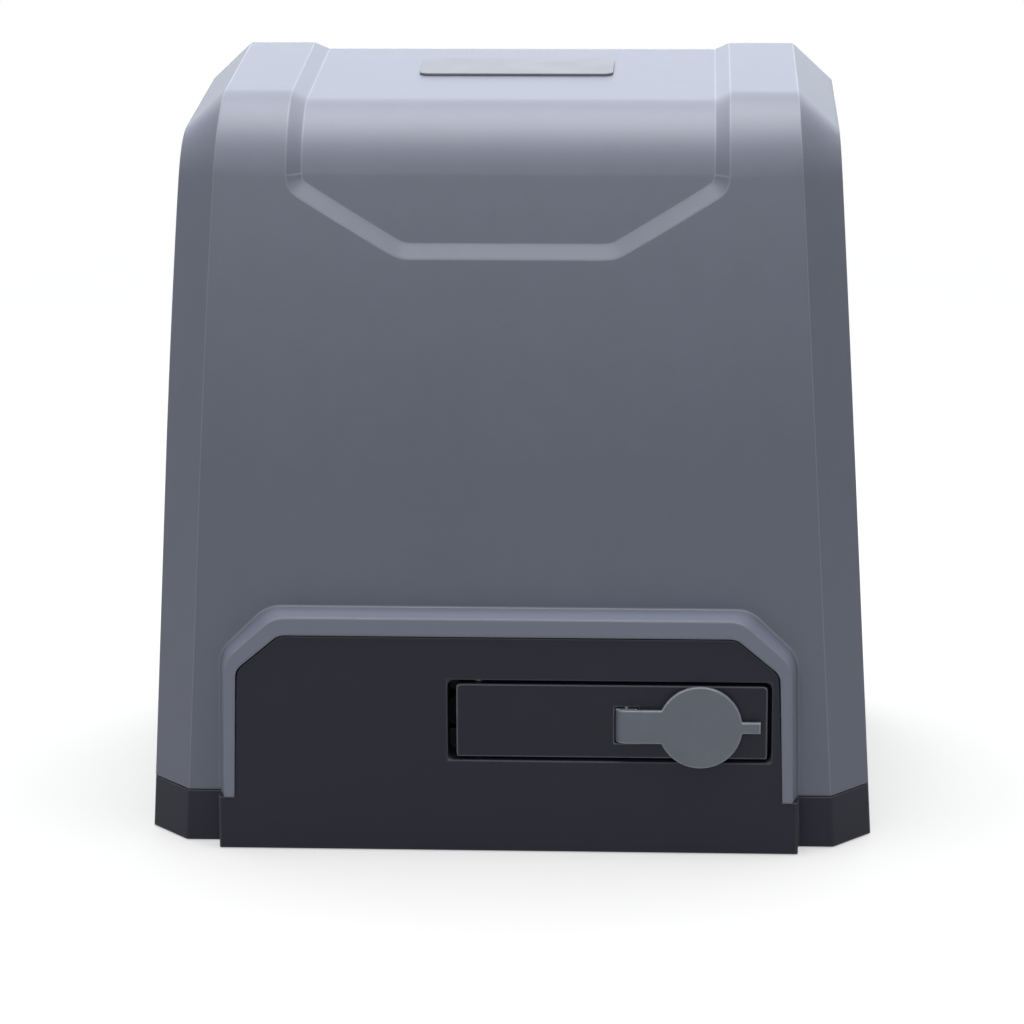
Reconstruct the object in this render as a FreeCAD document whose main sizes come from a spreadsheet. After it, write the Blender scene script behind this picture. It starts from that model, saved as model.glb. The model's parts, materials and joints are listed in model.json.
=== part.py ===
"""Sliding gate motor: a worm-geared operator with a lift-off cover, a key-locked release lever,
a dog clutch on its output shaft and a rack pinion behind it. Millimetres, +Z up, gate side at +Y.
The origin is the centre of the anchor slots on the underside of the base."""
import FreeCAD, Part
import math
import os
import re

import Sketcher
from FreeCAD import Placement, Rotation, Vector

# ---------------------------------------------------------------- driving dimensions
SIZES = [
    # housing outline
    ("body_width", 300), ("front_reach", 95), ("back_reach", 90), ("side_lean", 3.3),
    ("front_lean", 3), ("back_lean", 3.2), ("bend_start", 150), ("bend_radius", 690),
    ("shoulder_lean", 13.5), ("crown_radius", 38), ("top_slope", 2.5), ("corner_chamfer", 16),
    ("wall", 3), ("skirt_height", 21.5), ("seam_gap", 0.5), ("floor_thickness", 6),
    ("lip_gap", 0.4), ("lip_thickness", 2.6), ("lip_height", 6.5), ("fit_gap", 0.6),
    # seal in the skirt's groove
    ("seal_inset", 1), ("seal_width", 1.6), ("seal_depth", 2), ("seal_proud", 0.2),
    # sunk field on the crown
    ("field_depth", 3.5), ("field_outer", 89), ("field_inner", 83), ("field_base_half", 43.4),
    ("field_base_height", 243), ("field_side_height", 269.5), ("field_bevel", 6),
    ("field_corner", 16), ("field_side_corner", 11), ("field_side_ease", 1.2),
    # front surround and panel, measured up the leaning front
    ("panel_proud", 8.6), ("surround_proud", 9.4), ("surround_foot_half", 119.8),
    ("surround_ridge_half", 116.8), ("opening_half", 113.2), ("opening_top_half", 93.2),
    ("opening_shoulder", 76), ("opening_top", 91), ("surround_band", 6.4), ("surround_bevel", 2.6),
    ("block_half", 119.3), ("panel_wall", 3), ("panel_depth", 14), ("opening_corner", 7),
    # release lever and its pocket
    ("pocket_left", 24.4), ("pocket_end_gap", 5.3), ("pocket_bottom", 38.5), ("pocket_top", 72.5),
    ("pocket_depth", 17), ("lever_left", 20.8), ("lever_end_gap", 1.7), ("lever_bottom", 39.8),
    ("lever_top", 70.8), ("lever_thickness", 9), ("lever_sink", 0.6), ("hinge_x", 12),
    ("hinge_sink", 7), ("hinge_pin_radius", 1.6), ("pin_clearance", 0.05), ("pin_bite", 2.5),
    ("cam_offset", 4.2), ("cam_radius", 6), ("cam_half_height", 7), ("cam_gap", 0.6),
    # lock and keyhole cap
    ("lock_inset", 27.4), ("lock_height", 53.9), ("lock_radius", 9), ("core_radius", 6.4),
    ("core_clearance", 0.3), ("lock_length", 10.5), ("tongue_length", 14), ("tongue_width", 8),
    ("tongue_thickness", 2), ("cap_radius", 17.2), ("cap_thickness", 2.2), ("cap_gap", 0.9),
    ("cap_tab_half", 7), ("cap_finger_reach", 24.6),
    ("cap_finger_half", 2.3), ("cap_pin_reach", 30.1), ("cap_pin_radius", 0.9),
    ("cap_pin_sink", 1.4), ("cap_recess_half", 7.8), ("cap_end_radius", 4.5),
    # gearing
    ("output_x", -20), ("output_height", 56), ("wheel_mid_y", 20), ("wheel_teeth", 30),
    ("worm_module", 2.5), ("worm_pitch_radius", 10), ("worm_clearance", 0.6), ("flank_play", 0.32),
    ("wheel_face", 12), ("wheel_hub_radius", 22), ("wheel_hub_length", 26), ("worm_length", 44),
    ("pinion_module", 4), ("pinion_teeth", 16), ("pinion_width", 26), ("pinion_start", 92),
    ("shaft_radius", 12.5), ("front_journal_radius", 10), ("run_clearance", 0.05),
    ("rod_radius", 4), ("rod_front", 89.9), ("head_radius", 6.5), ("head_thickness", 3),
    ("cross_pin_radius", 2), ("clutch_radius", 21), ("clutch_length", 12), ("clutch_start", 34),
    ("clutch_travel", 6), ("dog_length", 4), ("dog_width", 8), ("dog_play", 0.5),
    ("spring_radius", 17), ("spring_wire", 1.3), ("key_width", 8), ("key_proud", 3),
    # gearcase
    ("case_left", -70), ("case_right", 56), ("case_top", 104), ("case_front", 0),
    ("case_depth", 42), ("case_wall", 5), ("wheel_room", 43), ("clutch_room", 30),
    ("nose_radius", 38), ("nose_end", 84), ("cover_plate", 14), ("gasket", 0.8),
    ("bolt_radius", 3), ("bolt_head_radius", 5),
    # bearings: outer radius and width
    ("rear_bearing_radius", 26), ("rear_bearing_width", 15), ("front_bearing_radius", 23.5),
    ("front_bearing_width", 12), ("worm_bearing_radius", 17.5), ("worm_bearing_width", 11),
    ("worm_journal_radius", 7.5), ("bearing_room", 62), ("seal_radius", 20),
    # motor
    ("flange_half", 50), ("flange_thickness", 7), ("shell_radius", 49), ("shell_wall", 2.5),
    ("shell_top", 204), ("stator_start", 126), ("stator_length", 56), ("stator_bore", 27),
    ("air_gap", 0.6), ("cap_height", 24), ("tie_offset", 42), ("tie_radius", 2.5),
    # electrics
    ("tray_half", 104), ("tray_y", -55), ("tray_thickness", 3), ("tray_top", 234),
    ("board_half", 90), ("board_bottom", 122), ("board_top", 226), ("board_thickness", 1.6),
    ("board_standoff", 4), ("button_x", 52), ("button_pitch", 14), ("button_height", 206),
    ("button_travel", 0.5), ("transformer_inset", 44), ("transformer_half", 20),
    ("capacitor_inset", 43), ("capacitor_y", 18), ("capacitor_radius", 19), ("capacitor_length", 88),
    # limit switch
    ("limit_x", -47), ("limit_height", 122), ("limit_arm_radius", 2), ("limit_arm_reach", 34),
    ("limit_room", 9), ("rear_plate_front", 84.4), ("rear_plate_thickness", 3),
    ("rear_plate_left", -74), ("rear_plate_right", 24), ("rear_plate_top", 142),
    # fixings in the base
    ("anchor_pitch_x", 210), ("anchor_pitch_y", 130), ("anchor_half_width", 5),
    ("anchor_slot", 24), ("grommet_x", 62), ("grommet_y", -44), ("grommet_bore", 10),
    ("leveller_x", 128), ("leveller_y", 64), ("leveller_radius", 4), ("cover_screw_height", 36),
    ("cover_screw_radius", 3), ("cover_screw_head", 6), ("boss_half", 11),
    # badge and crown lugs
    ("badge_half", 40.5), ("badge_depth", 30), ("badge_thickness", 1.2), ("badge_y", 22),
    ("lug_first", -50), ("lug_pitch", 37), ("lug_half", 4), ("lug_height", 2.2),
]

# Lengths worked out from the driving dimensions, as formulas on them.
DERIVED = {
    "seam": "skirt_height + seam_gap",
    "side_tan": "tan(side_lean)",
    "bend_y": "-front_reach + bend_start*tan(front_lean) + bend_radius*cos(front_lean)",
    "bend_z": "bend_start - bend_radius*sin(front_lean)",
    "crown_y": "bend_y - (bend_radius - crown_radius)*cos(shoulder_lean)",
    "crown_z": "bend_z + (bend_radius - crown_radius)*sin(shoulder_lean)",
    "crest_y": "crown_y - crown_radius*sin(top_slope)",
    "crest_z": "crown_z + crown_radius*cos(top_slope)",
    "worm_x": "output_x + worm_module*wheel_teeth/2 + worm_pitch_radius",
    "wheel_pitch": "worm_module*wheel_teeth/2",
    "pocket_right": "opening_half - pocket_end_gap",
    "lever_right": "pocket_right - lever_end_gap",
    "lever_mid": "(lever_bottom + lever_top)/2",
    "lock_x": "lever_right - lock_inset",
    "cap_pin_x": "lock_x - cap_pin_reach",
    "body_half": "body_width/2",
    "above": "crest_z + 60",
    "transformer_x": "transformer_inset - body_half",
    "capacitor_x": "body_half - capacitor_inset",
    "bore_radius": "rod_radius + run_clearance",
    "rotor_start": "stator_start - 2",
    "rotor_length": "stator_length + 4",
    "board_y": "tray_y - tray_thickness - board_standoff",
    "board_face": "board_y - board_thickness",
    "pin_bore": "hinge_pin_radius + pin_clearance",
    "field_lean": "asin(sin(front_lean) + (field_base_height - bend_start)/bend_radius)/(1 deg)",
    "field_floor": "crown_z + (crown_radius - field_depth)*cos(top_slope)",
    "side_at_screw": "body_half - cover_screw_height*side_tan",
}

doc = FreeCAD.newDocument("sliding_gate_motor")
sheet = doc.addObject("Spreadsheet::Sheet", "Sizes")
for row, (alias, number) in enumerate(SIZES, start=1):
    sheet.set(f"A{row}", alias.replace("_", " "))
    sheet.set(f"B{row}", str(number))
    sheet.setAlias(f"B{row}", alias)
doc.recompute()

ALIASES = {alias for alias, _ in SIZES}
NODES = []


def sized(formula):
    """Writes a formula on plain names as one on the sheet's cells."""
    def cell(match):
        word = match.group(0)
        if word in DERIVED:
            return "(" + sized(DERIVED[word]) + ")"
        return "Sizes." + word if word in ALIASES else word
    return re.sub(r"[a-z][a-z_]+", cell, str(formula))


def value(formula):
    """The formula's value with the sheet as it stands."""
    return float(sheet.evalExpression(sized(formula)))


def place(thing, x=0, y=0, z=0, turn=None):
    """Puts an object's base at a bound point, turned by (axis, degrees) if given."""
    if turn:
        thing.Placement = Placement(Vector(), Rotation(turn[0], turn[1]))
    for letter, formula in zip("xyz", (x, y, z)):
        thing.setExpression(f"Placement.Base.{letter}", sized(formula))
    return thing


def lean_front(thing):
    """Moves a piece made about the upright front plane y = 0 to the housing's leaning front.
    The piece is a boolean, whose own placement is free."""
    thing.Placement = Placement(Vector(0, -1, 0), Rotation(Vector(-1, 0, 0), 1))
    thing.setExpression("Placement.Rotation.Angle", sized("front_lean"))
    thing.setExpression("Placement.Base.y", sized("-front_reach"))
    return thing


def block(name, low, high):
    """A box between two bound corners."""
    thing = doc.addObject("Part::Box", name)
    for side, a, b in zip(("Length", "Width", "Height"), low, high):
        thing.setExpression(side, sized(f"({b}) - ({a})"))
    return place(thing, *low)


TURNS = {"x": (Vector(0, 1, 0), 90), "y": (Vector(-1, 0, 0), 90), "z": None}


def rod(name, radius, length, start, axis="z"):
    """A cylinder that runs from a bound point along +axis."""
    thing = doc.addObject("Part::Cylinder", name)
    thing.setExpression("Radius", sized(radius))
    thing.setExpression("Height", sized(length))
    return place(thing, *start, turn=TURNS[axis])


def cone(name, radius_1, radius_2, length, start, axis="z"):
    """A cone or taper that runs from a bound point along +axis."""
    thing = doc.addObject("Part::Cone", name)
    thing.setExpression("Radius1", sized(radius_1))
    thing.setExpression("Radius2", sized(radius_2))
    thing.setExpression("Height", sized(length))
    return place(thing, *start, turn=TURNS[axis])


def cut(name, base, *tools):
    thing = doc.addObject("Part::Cut", name)
    thing.Base = base
    thing.Tool = tools[0] if len(tools) == 1 else fuse(name + "_tools", *tools)
    return thing


def fuse(name, *pieces):
    thing = doc.addObject("Part::MultiFuse", name)
    thing.Shapes = list(pieces)
    return thing


def common(name, *pieces):
    thing = doc.addObject("Part::MultiCommon", name)
    thing.Shapes = list(pieces)
    return thing


def tube(name, outer, inner, length, start, axis="z"):
    """A ring or sleeve."""
    return cut(name, rod(name + "_outer", outer, length, start, axis),
               rod(name + "_bore", inner, length, start, axis))


def pin(name, radius, length, start):
    """An upright pin with a tapered upper end."""
    x, y, z = start
    return fuse(name, rod(name + "_shank", radius, f"({length}) - 1", start),
                cone(name + "_tip", radius, f"({radius}) - 0.4", "1", (x, y, f"{z} + ({length}) - 1")))


def node(label, thing):
    """Names a finished sub-part."""
    thing.Label = label
    NODES.append(thing)
    return thing


def arc(a, b, radius):
    """The short counter-clockwise arc from a to b."""
    middle = (a + b) * 0.5
    half = (b - a).Length / 2
    left = Vector(-(b - a).y, (b - a).x, 0).normalize()
    centre = middle + left * math.sqrt(radius**2 - half**2)
    angles = [math.atan2((p - centre).y, (p - centre).x) for p in (a, b)]
    if angles[1] < angles[0]:
        angles[1] += 2 * math.pi
    return Part.ArcOfCircle(Part.Circle(centre, Vector(0, 0, 1), radius), *angles)


def outline(sketch, corners):
    """Draws a closed counter-clockwise loop. A corner is (u, v), or (u, v, radius) where the edge
    that leaves it is an arc. Every corner and radius is bound to the sheet."""
    points = [Vector(value(c[0]), value(c[1]), 0) for c in corners]
    count = len(corners)
    first = sketch.GeometryCount
    for i, corner in enumerate(corners):
        a, b = points[i], points[(i + 1) % count]
        edge = arc(a, b, value(corner[2])) if len(corner) > 2 else Part.LineSegment(a, b)
        sketch.addGeometry(edge)
    for i, corner in enumerate(corners):
        here = first + i
        sketch.addConstraint(Sketcher.Constraint("Coincident", here, 2, first + (i + 1) % count, 1))
        bound = [("DistanceX", points[i].x, corner[0]), ("DistanceY", points[i].y, corner[1])]
        for kind, number, formula in bound:
            index = sketch.addConstraint(Sketcher.Constraint(kind, here, 1, number))
            sketch.setExpression(f"Constraints[{index}]", sized(formula))
        if len(corner) > 2:
            index = sketch.addConstraint(Sketcher.Constraint("Radius", here, value(corner[2])))
            sketch.setExpression(f"Constraints[{index}]", sized(corner[2]))
    return sketch


def body_sketch(body, name, plane, *loops):
    """A sketch on one of a body's origin planes."""
    sketch = body.newObject("Sketcher::SketchObject", name)
    support = [f for f in body.Origin.OriginFeatures if f.Role == plane][0]
    sketch.AttachmentSupport = (support, "")
    sketch.MapMode = "FlatFace"
    for corners in loops:
        outline(sketch, corners)
    return sketch


def plate(name, corners, y_from, y_to):
    """A plate with a front-view outline (x, z), between two bound depths."""
    sketch = doc.addObject("Sketcher::SketchObject", name + "_outline")
    outline(sketch, corners)
    place(sketch, 0, y_to, 0, turn=(Vector(1, 0, 0), 90))
    thing = doc.addObject("Part::Extrusion", name)
    thing.Base = sketch
    thing.DirMode = "Normal"
    thing.Solid = True
    thing.setExpression("LengthFwd", sized(f"({y_to}) - ({y_from})"))
    return thing


def mirrored(right_half):
    """Closes a front-view outline that is the same on both sides, from its right half."""
    left_half = [(f"-({u})", v, *more) for u, v, *more in reversed(right_half)]
    return rounded(right_half + left_half)


def rounded(corners):
    """Rounds each corner that has a radius, in a convex counter-clockwise outline."""
    made = []
    for i, corner in enumerate(corners):
        if len(corner) < 3:
            made.append(corner)
            continue
        u, v, radius = (f"({part})" for part in corner)
        steps = []
        for other in (corners[i - 1], corners[(i + 1) % len(corners)]):
            du, dv = f"(({other[0]}) - {u})", f"(({other[1]}) - {v})"
            steps.append((du, dv, f"sqrt({du}*{du} + {dv}*{dv})"))
        (du_1, dv_1, far_1), (du_2, dv_2, far_2) = steps
        turn = f"(-({du_1}*{du_2} + {dv_1}*{dv_2})/({far_1}*{far_2}))"
        back = f"({radius}*sqrt((1 - {turn})/(1 + {turn})))"
        made.append((f"{u} + {back}*{du_1}/{far_1}", f"{v} + {back}*{dv_1}/{far_1}", radius))
        made.append((f"{u} + {back}*{du_2}/{far_2}", f"{v} + {back}*{dv_2}/{far_2}"))
    return made


def deck(name, corners, z_from, z_to):
    """A plate with a plan outline (x, y), between two bound heights."""
    sketch = doc.addObject("Sketcher::SketchObject", name + "_outline")
    outline(sketch, corners)
    place(sketch, 0, 0, z_from)
    thing = doc.addObject("Part::Extrusion", name)
    thing.Base = sketch
    thing.DirMode = "Normal"
    thing.Solid = True
    thing.setExpression("LengthFwd", sized(f"({z_to}) - ({z_from})"))
    return thing


def loft(name, corners_1, y_1, corners_2, y_2):
    """A ruled solid between two front-view outlines."""
    ends = []
    for tag, corners, depth in (("near", corners_1, y_1), ("far", corners_2, y_2)):
        sketch = doc.addObject("Sketcher::SketchObject", f"{name}_{tag}")
        outline(sketch, corners)
        ends.append(place(sketch, 0, depth, 0, turn=(Vector(1, 0, 0), 90)))
    thing = doc.addObject("Part::Loft", name)
    thing.Sections = ends
    thing.Solid = True
    thing.Ruled = True
    return thing


# ---------------------------------------------------------------- housing envelope
def side_profile(inset, past_back="0"):
    """The housing's side outline (y, z), moved inwards by inset. past_back moves the back out."""
    bend = f"(bend_radius - ({inset}))"
    crown = f"(crown_radius - ({inset}))"
    crest_y = f"(crown_y - {crown}*sin(top_slope))"
    crest_z = f"(crown_z + {crown}*cos(top_slope))"
    back = f"(back_reach - ({inset})/cos(back_lean) + ({past_back}))"
    slope = "tan(top_slope)*tan(back_lean)"
    back_y = f"(({back} - {crest_z}*tan(back_lean) + {crest_y}*{slope})/(1 + {slope}))"
    return [
        (f"-front_reach + ({inset})/cos(front_lean)", "0"),
        (back, "0"),
        (back_y, f"{crest_z} + ({back_y} - {crest_y})*tan(top_slope)"),
        (crest_y, crest_z, crown),
        (f"bend_y - {bend}*cos(shoulder_lean)", f"bend_z + {bend}*sin(shoulder_lean)", bend),
        (f"bend_y - {bend}*cos(front_lean)", f"bend_z + {bend}*sin(front_lean)"),
    ]


def side_edges(shape, inset):
    """Names of the edges where the leaning sides meet the front, crown, top and back."""
    names = []
    half = value(f"body_half - ({inset})/cos(side_lean)")
    lean = value("side_tan")
    for number, edge in enumerate(shape.Edges, start=1):
        ends = [edge.valueAt(t) for t in (edge.FirstParameter, edge.LastParameter)]
        on_side = all(abs(abs(p.x) - (half - p.z * lean)) < 1e-3 for p in ends)
        if on_side and max(p.z for p in ends) > 1:
            names.append(f"Edge{number}")
    return names


def envelope(name, inset="0"):
    """The housing's outer form from the ground up, moved inwards by inset."""
    body = doc.addObject("PartDesign::Body", name)
    pad = body.newObject("PartDesign::Pad", name + "_pad")
    pad.Profile = body_sketch(body, name + "_profile", "YZ_Plane", side_profile(inset))
    pad.SideType = "Symmetric"
    pad.setExpression("Length", sized("body_width + 2"))
    half = f"(body_half - ({inset})/cos(side_lean))"
    wedge = [(half, "0"), (f"{half} + 40", "0"), (f"{half} + 40", "above"),
             (f"{half} - above*side_tan", "above")]
    other = [(f"-({u})", v) for u, v in reversed(wedge)]
    sides = body.newObject("PartDesign::Pocket", name + "_sides")
    sides.Profile = body_sketch(body, name + "_side_lines", "XZ_Plane", wedge, other)
    sides.SideType = "Symmetric"
    sides.setExpression("Length", sized("2*(front_reach + back_reach)"))
    doc.recompute()
    chamfer = body.newObject("PartDesign::Chamfer", name + "_corners")
    chamfer.Base = (sides, side_edges(sides.Shape, inset))
    chamfer.setExpression("Size", sized(f"corner_chamfer - ({inset})*(2 - sqrt(2))"))
    body.Tip = chamfer
    return body


def slab(name, low, high):
    """A level slice of everything between two bound heights."""
    return block(name, ("-body_width", "-2*front_reach", low), ("body_width", "2*back_reach", high))


def ring(name, inset_1, inset_2, low, high):
    """A level band that follows the housing's outline."""
    return common(name, cut(name + "_walls", envelope(name + "_outside", inset_1),
                            envelope(name + "_inside", inset_2)), slab(name + "_slice", low, high))


def opening_outline(gap, foot):
    """The front opening's outline, widened by gap, from a bound foot height up."""
    return mirrored([
        (f"opening_half + ({gap})", foot),
        (f"opening_half + ({gap}) - 2", f"opening_shoulder + ({gap})*0.4",
         f"opening_corner + ({gap})"),
        (f"opening_top_half + ({gap})*0.4", f"opening_top + ({gap})", f"opening_corner + ({gap})"),
    ])


def rear_outline(gap, foot):
    """The rear plate's outline, widened by gap."""
    return [
        (f"rear_plate_left - ({gap})", foot),
        (f"rear_plate_right + ({gap})", foot),
        (f"rear_plate_right + ({gap})", f"rear_plate_top - 34 + ({gap})*0.4"),
        (f"rear_plate_right - 34 + ({gap})*0.4", f"rear_plate_top + ({gap})"),
        (f"rear_plate_left - ({gap})", f"rear_plate_top + ({gap})"),
    ]


def grown(foot_half, foot, shoulder_half, shoulder, top_half, top):
    radius = "opening_corner + surround_band"
    return mirrored([(foot_half, foot), (shoulder_half, shoulder, radius),
                     (top_half, top, radius)])


# ---------------------------------------------------------------- base
SLOT_SIDES = [(sx, sy) for sx in (-1, 1) for sy in (-1, 1)]


def slots(name):
    """The four slotted anchor holes."""
    made = []
    for n, (sx, sy) in enumerate(SLOT_SIDES):
        x, y = f"{sx}*anchor_pitch_x/2", f"{sy}*anchor_pitch_y/2"
        reach = "(anchor_slot/2 - anchor_half_width)"
        made.append(block(f"{name}_{n}", (f"{x} - {reach}", f"{y} - anchor_half_width", -1),
                          (f"{x} + {reach}", f"{y} + anchor_half_width", "floor_thickness + 1")))
        for m, side in enumerate((-1, 1)):
            made.append(rod(f"{name}_{n}_end_{m}", "anchor_half_width", "floor_thickness + 2",
                            (f"{x} + {side}*{reach}", y, -1)))
    return made


def base_housing():
    inner = "wall + lip_gap + lip_thickness"
    outer_form = envelope("base_outside")
    skirt = common("skirt", outer_form, slab("skirt_slice", 0, "skirt_height"))
    lip = ring("lip", "wall + lip_gap", inner, "skirt_height - 1", "skirt_height + lip_height")
    hollow = common("skirt_hollow", envelope("base_inside", inner),
                    slab("hollow_slice", "floor_thickness", "above"))
    # the front block below the surround, and the panel above it
    front = plate("front_block", mirrored([("block_half", "-2"), ("block_half", "skirt_height")]),
                  "-panel_proud", 6)
    face = plate("panel_face", opening_outline("-fit_gap", "skirt_height - 1"), "-panel_proud",
                 "panel_depth")
    back = plate("panel_hollow", opening_outline("-fit_gap - panel_wall", "floor_thickness"),
                 "panel_wall - panel_proud", "panel_depth + 1")
    box_end = "pocket_depth - panel_proud + panel_wall"
    pocket_box = common("pocket_box",
                        block("pocket_blank", ("-pocket_left - panel_wall", "-panel_proud + 1",
                                               "pocket_bottom - panel_wall"),
                              ("pocket_right + panel_wall", box_end, "pocket_top + panel_wall")),
                        plate("pocket_limit", opening_outline("-fit_gap", "floor_thickness"),
                              "-panel_proud", f"{box_end} + 1"))
    pocket = block("pocket", ("-pocket_left", "-panel_proud - 1", "pocket_bottom"),
                   ("pocket_right", "pocket_depth - panel_proud", "pocket_top"))
    window = block("rod_window", ("output_x - head_radius - 1.5", 0, "lever_mid - head_radius - 2"),
                   ("output_x + head_radius + 1.5", "pocket_depth + 10",
                    "lever_mid + head_radius + 2"))
    pin_hole = rod("hinge_hole", "hinge_pin_radius", "pocket_top - pocket_bottom + 2*pin_bite",
                   ("-hinge_x", "hinge_sink - panel_proud", "pocket_bottom - pin_bite"))
    strike = fuse("strike", block("strike_post", ("lock_x + tongue_length - 3", "2",
                                                  "pocket_bottom - 1"),
                                  ("lock_x + tongue_length + 4", "4.5", "lock_height + 3")),
                  block("strike_foot", ("lock_x + tongue_length - 3", "2", "pocket_bottom - 1"),
                        ("lock_x + tongue_length + 4", "pocket_depth - panel_proud + 1",
                         "pocket_bottom + 1.2")))
    shell = cut("panel_shell", fuse("panel_solid", front, face), back)
    leaning = lean_front(cut("panel_leaning", fuse("panel_boxed", shell, pocket_box),
                             pocket, window, pin_hole))
    panel = common("panel", leaning, slab("panel_slice", 0, "above"))
    # rear plate behind the gearcase nose
    rear_end = "rear_plate_front + rear_plate_thickness"
    rear = plate("rear_plate", rear_outline(0, "floor_thickness"), "rear_plate_front", rear_end)
    shaft_hole = rod("rear_shaft_hole", "seal_radius + 2", 30,
                     ("output_x", "rear_plate_front - 10", "output_height"), "y")
    limit_window = block("limit_window", ("limit_x - limit_room", "rear_plate_front - 10",
                                          "limit_height - 5"),
                         ("limit_x + limit_room", "back_reach + 10", "limit_height + 5"))
    bosses = []
    for n, side in enumerate((-1, 1)):
        wall_x = "(side_at_screw - wall - 4.9)"
        a, b = f"({wall_x} - 6)", f"{wall_x}"
        low, high = (a, b) if side > 0 else (f"-{b}", f"-{a}")
        bosses.append(block(f"screw_boss_{n}", (low, "-boss_half", "floor_thickness - 1"),
                            (high, "boss_half", "cover_screw_height + 8")))
    pads = [rod(f"leveller_pad_{n}", "leveller_radius + 4", "floor_thickness + 8",
                (f"{sx}*leveller_x", f"{sy}*leveller_y", 0))
            for n, (sx, sy) in enumerate(SLOT_SIDES)]
    screw_room = [rod(f"leveller_hole_{n}", "leveller_radius", "floor_thickness + 20",
                      (f"{sx}*leveller_x", f"{sy}*leveller_y", -1))
                  for n, (sx, sy) in enumerate(SLOT_SIDES)]
    cover_holes = [rod(f"cover_screw_hole_{n}", "cover_screw_radius", "body_half",
                       (x, 0, "cover_screw_height"), "x")
                   for n, x in enumerate(("body_half - 25", "25 - body_width"))]
    tub = fuse("base_tub", cut("skirt_shell", skirt, hollow), lip, panel, rear, *bosses, *pads)
    under_panel = lean_front(plate("panel_way", opening_outline("-fit_gap - panel_wall",
                                                                "floor_thickness"),
                                   "panel_wall - panel_proud", "8"))
    passage = common("panel_passage", under_panel,
                     slab("passage_slice", "floor_thickness", "pocket_bottom - 8"))
    seal_groove = ring("seal_groove", "seal_inset", "seal_inset + seal_width",
                       "skirt_height - seal_depth", "skirt_height + 1")
    lip_notches = [block(f"lip_notch_{n}", (x, "-boss_half - 2", "skirt_height"),
                         (f"{x} + 12", "boss_half + 2", "skirt_height + lip_height + 2"))
                   for n, x in enumerate(("side_at_screw - 8", "-4 - side_at_screw"))]
    foot_holes = [rod(f"case_foot_tap_{n}", "bolt_radius", "floor_thickness",
                      (x, "case_front + case_depth/2", "2"))
                  for n, x in enumerate(("case_left - 6.5", "case_right + 6.5"))]
    grommet_hole = rod("grommet_hole", "grommet_bore + 3", 30, ("grommet_x", "grommet_y", -1))
    nose_way = rod("nose_way", "nose_radius + fit_gap", 12,
                   ("output_x", "rear_plate_front - 12", "output_height"), "y")
    return fuse("base_with_strike", cut("base_cut", tub, shaft_hole, limit_window, passage,
                                        seal_groove, grommet_hole, nose_way, *slots("anchor"),
                                        *screw_room, *cover_holes, *lip_notches, *foot_holes),
                lean_front(strike))


node("base_housing", base_housing())
node("cover_seal", ring("seal_ring", "seal_inset", "seal_inset + seal_width",
                        "skirt_height - seal_depth", "skirt_height + seal_proud"))


# ---------------------------------------------------------------- cover
def field_cutter(name, inset, grow):
    """What the sunk field takes from a housing form moved inwards by inset. The field's border
    is a bevel all round; grow moves the border outwards."""
    keep = doc.addObject("Part::Loft", name + "_keep")
    stations = []
    floor = f"({inset}) + field_depth"
    for n, (x, depth) in enumerate(((f"-(field_outer + {grow})", inset),
                                    (f"-(field_inner + {grow})", floor),
                                    (f"field_inner + {grow}", floor),
                                    (f"field_outer + {grow}", inset))):
        sketch = doc.addObject("Sketcher::SketchObject", f"{name}_station_{n}")
        outline(sketch, side_profile(depth, "60"))
        stations.append(place(sketch, x, 0, 0, turn=(Vector(1, 1, 1), 120)))
    keep.Sections = stations
    keep.Solid = True
    keep.Ruled = True
    band = block(name + "_band", (f"-(field_outer + {grow})", "-2*front_reach",
                                  "field_base_height - 60"),
                 (f"field_outer + {grow}", "2*back_reach", "above"))
    return common(name, cut(name + "_skin", band, keep), field_zone(name, inset, grow))


def field_zone(name, inset, grow):
    """The space above the field's lower border, whose bevel is square to the leaning front."""
    ratio = "(field_bevel/field_depth)"
    slope = "atan((field_side_height - field_base_height)/(field_outer - field_base_half))"

    def border(shift):
        base_half = f"(field_base_half + ({shift})*tan({slope}/2))"
        side = f"(field_outer + field_side_ease + ({shift}))"
        return mirrored([
            (base_half, f"-({shift})", f"field_corner + ({shift})"),
            (side, f"({side} - {base_half})*tan({slope}) - ({shift})",
             f"field_side_corner + ({shift})"),
            (side, "90")])
    zone = doc.addObject("Part::Loft", name + "_lower_zone")
    sections = []
    for tag, depth in (("near", "-3"), ("far", "field_depth + 2")):
        sketch = doc.addObject("Sketcher::SketchObject", f"{name}_border_{tag}")
        outline(sketch, border(f"{grow} - ({depth})*{ratio}"))
        sketch.Placement = Placement(Vector(), Rotation(Vector(1, 0, 0), 90))
        sketch.setExpression("Placement.Rotation.Angle", sized("90 - field_lean"))
        surface_y = f"(bend_y - (bend_radius - ({inset}))*cos(field_lean))"
        place_y = f"{surface_y} + ({depth})*cos(field_lean)"
        place_z = f"field_base_height - (({depth}) + ({inset}))*sin(field_lean)"
        sketch.setExpression("Placement.Base.y", sized(place_y))
        sketch.setExpression("Placement.Base.z", sized(place_z))
        sections.append(sketch)
    zone.Sections = sections
    zone.Solid = True
    zone.Ruled = True
    upper = slab(name + "_upper_zone", "field_side_height + 6", "above + 1")
    return fuse(name + "_zone", zone, upper)


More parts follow.
